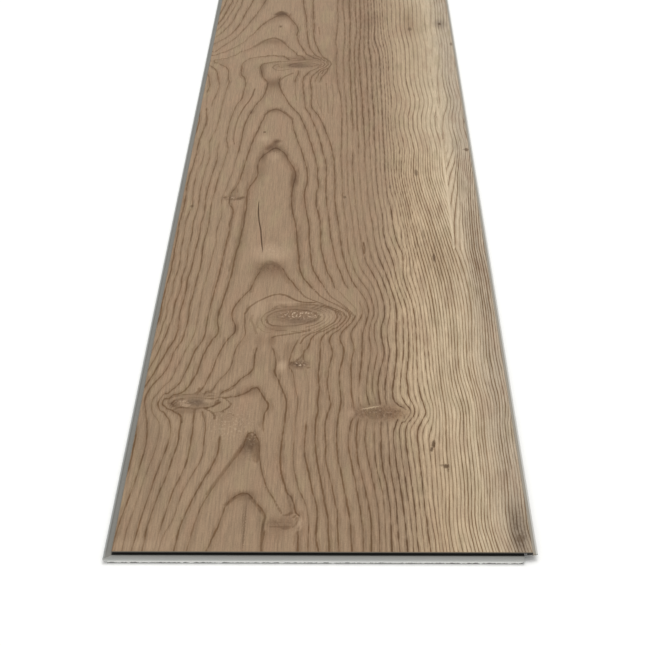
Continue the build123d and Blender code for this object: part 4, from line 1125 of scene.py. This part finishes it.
# Browner, colder and paler places, ragged along the fibres
shades = grain.add("Attribute", attribute_name="shades").outputs["Vector"]
brown, cold, pale = grain.add("SeparateXYZ", {"Vector": shades}).outputs
ragged = grain.ease(fibres, 0.3, 0.7, 0.7, 1.2)
brown = grain.sum("MULTIPLY", brown, ragged)
browned = grain.mix(1.0, surface, (0.50, 0.40, 0.32, 1), "MULTIPLY")
surface = grain.mix(grain.sum("MINIMUM", brown, 1.0), surface, browned)
cooled = grain.mix(1.0, surface, (0.50, 0.48, 0.48, 1), "MULTIPLY")
surface = grain.mix(grain.sum("MULTIPLY", cold, ragged), surface, cooled)
surface = grain.mix(grain.sum("MULTIPLY", pale, ragged), surface, linear(190, 164, 136))
# The speckle and the pale flecks of the knots
coarse = grain.noise(grain.stretch(at, (0.5, 0.26, 1)), 1.0, 3.0, 0.8)
speckle = grain.sum("MULTIPLY", grain.ease(coarse, 0.46, 0.6, 0.0, 0.7), speckle_share)
speckled = grain.mix(1.0, surface, (0.44, 0.36, 0.30, 1), "MULTIPLY")
surface = grain.mix(speckle, surface, speckled)
flecks = grain.noise(grain.stretch(at, (0.75, 0.4, 1)), 1.0, 2.0)
flecks = grain.sum("MULTIPLY", grain.ease(flecks, 0.54, 0.64, 0.0, 0.9), fleck_share)
surface = grain.mix(flecks, surface, linear(198, 174, 148))
# Small dark specks, each with its own place, half sizes and turn
specks = [
    (71.7, 76.8, 2.0, 2.4, 0, 0.85),
    (69.2, 77.6, 1.6, 1.2, 0, 0.45),
    (72.4, 73.0, 0.8, 2.4, 0, 0.4),
    (65.3, 98.6, 1.2, 4.2, -0.1, 0.85),
    (64.0, 93.4, 1.1, 2.8, -0.2, 0.8),
    (-43.2, 21, 0.55, 25, 0, 0.5),
    (-44.4, 28, 0.45, 14, 0, 0.35),
    (76.5, 326, 1.3, 7, 0, 0.7),
    (70.3, 362, 1.4, 8, 0, 0.35),
    (12, 422, 1.3, 2.4, 0, 0.6),
    (-105.6, 407, 1.2, 2.5, 0, 0.7),
    (47.5, 440, 1.1, 4, 0, 0.5),
    (69, 465, 1.6, 7, 0, 0.6),
    (112, 508, 1.8, 3.5, 0, 0.7),
    (112, 508, 3.5, 1.2, 0, 0.5),
    (-56, 543, 1.3, 2, 0, 0.7),
    (75, 783, 2.2, 5, 0, 0.55),
    (104.7, 797, 1.6, 3.5, 0, 0.8),
    (113, 743, 1.5, 4, 0, 0.5),
    (-51.5, 791, 1.1, 2.2, 0, 0.6),
    (108.5, 11.5, 2.6, 4, 0, 0.5),
]
shaken_x = grain.sum("MULTIPLY_ADD", mottle, 2.4, grain.sum("SUBTRACT", x, 1.2))
shaken_v = grain.sum("MULTIPLY_ADD", fine_fibres, 3.0, grain.sum("SUBTRACT", v, 1.5))
shaken_at = grain.add("CombineXYZ", {"X": shaken_x, "Y": shaken_v})


def spots_of(spots):
    """Where any of these small ragged ovals lie."""
    spotted = 0.0
    for spot_x, spot_v, half_x, half_v, turn, amount in spots:
        joined = {"Vector": shaken_at.outputs["Vector"], "Location": (spot_x, spot_v, 0)}
        joined.update({"Rotation": (0, 0, turn), "Scale": (half_x, half_v, 1)})
        own_place = grain.add("Mapping", joined, vector_type="TEXTURE").outputs["Vector"]
        out = grain.add("VectorMath", {0: own_place}, operation="LENGTH").outputs["Value"]
        spotted = grain.sum("MAXIMUM", spotted, grain.ease(out, 0.5, 1.25, amount, 0.0))
    return spotted


surface = grain.mix(spots_of(specks), surface, linear(74, 50, 24))
# The pale slit at the top of the soft knot
slits = [(28.5, 136.4, 6.5, 0.7, 0.28, 0.5)]
surface = grain.mix(spots_of(slits), surface, linear(208, 184, 152))
# The open check
crack_width = grain.sum("MULTIPLY", crack_window, 0.55)
crack_core = grain.sum("MULTIPLY", crack_width, 0.3)
crack_rim = grain.sum("ADD", crack_width, 0.25)
crack_dark = grain.ease(grain.sum("ABSOLUTE", crack), crack_core, crack_rim, 1.0, 0.0)
crack_dark = grain.sum("MULTIPLY", crack_dark, grain.ease(crack_window, 0.0, 0.5, 0.0, 0.95))
surface = grain.mix(crack_dark, surface, linear(64, 40, 14))
# The film's cut edge is plain grey-brown vinyl under the print
cut_edge = grain.ease(z, high.z - 0.00012, high.z - 0.00003, 1.0, 0.0)
surface = grain.mix(cut_edge, surface, linear(124, 114, 100))
# The embossing follows the fibres and sinks along the rings
pressed = grain.sum("SUBTRACT", fine_fibres, grain.sum("MULTIPLY", dark, 0.6))
grain.paint(surface, pressed, 0.3, 0.0001)

printed_face.data.materials.append(grain.material)
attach(printed_face, "root")
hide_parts("printed_vinyl_layer")

# Floor: the smooth white ground that the plank lies on, one flat sheet.
# It isn't part of the plank, which only rests on it.
ground_sheet = bmesh.new()
bmesh.ops.create_grid(ground_sheet, x_segments=1, y_segments=1, size=6)
ground_mesh = bpy.data.meshes.new("white_ground")
ground_sheet.to_mesh(ground_mesh)
ground_sheet.free()
# It lies a hair below the foam, so that the two faces never lie in one plane
ground_drop = 0.0001
for corner in ground_mesh.vertices:
    corner.co.z = -ground_drop
white_ground = bpy.data.objects.new("white_ground", ground_mesh)
bpy.context.scene.collection.objects.link(white_ground)
ground_finish = Finish("white_ground_finish", 0.9)
ground_finish.shader.inputs["Base Color"].default_value = linear(250, 250, 248)
white_ground.data.materials.append(ground_finish.material)

# Light: one wide soft lamp over the plank, and an even white surround that fills its shadows.
# Together they are as flat as the photograph's light.
lamp_data = bpy.data.lights.new("wide_soft_lamp", "AREA")
lamp_data.shape = "RECTANGLE"
lamp_data.size = 1.6
lamp_data.size_y = 1.6
lamp_data.energy = 30
lamp = bpy.data.objects.new("wide_soft_lamp", lamp_data)
lamp.location = (0.25, 0.0, 2.4)
aimed_at = Vector((0.0, -0.2, 0.0))
lamp.rotation_euler = (lamp.location - aimed_at).to_track_quat("Z", "Y").to_euler()
bpy.context.scene.collection.objects.link(lamp)
surround = bpy.data.worlds.new("white_surround")
surround.use_nodes = True
surround.node_tree.nodes["Background"].inputs["Color"].default_value = (1, 1, 1, 1)
surround.node_tree.nodes["Background"].inputs["Strength"].default_value = 0.74
bpy.context.scene.world = surround

# Camera: where the photograph was taken from, in front of the near end and above it,
# looking down along the board through a long lens.
camera_data = bpy.data.cameras.new("camera")
camera_data.lens = 85
camera_data.sensor_width = 36
camera_data.clip_start = 0.05
camera = bpy.data.objects.new("camera", camera_data)
turn = Matrix.Rotation(radians(1.053), 4, "Z")
tilt = Matrix.Rotation(radians(58.315), 4, "X")
roll = Matrix.Rotation(radians(-0.534), 4, "Z")
stand = Matrix.Translation((0.0136, -1.4, 0.545))
camera.matrix_world = stand @ turn @ tilt @ roll
bpy.context.scene.collection.objects.link(camera)
bpy.context.scene.camera = camera
bpy.context.scene.view_settings.view_transform = "Standard"
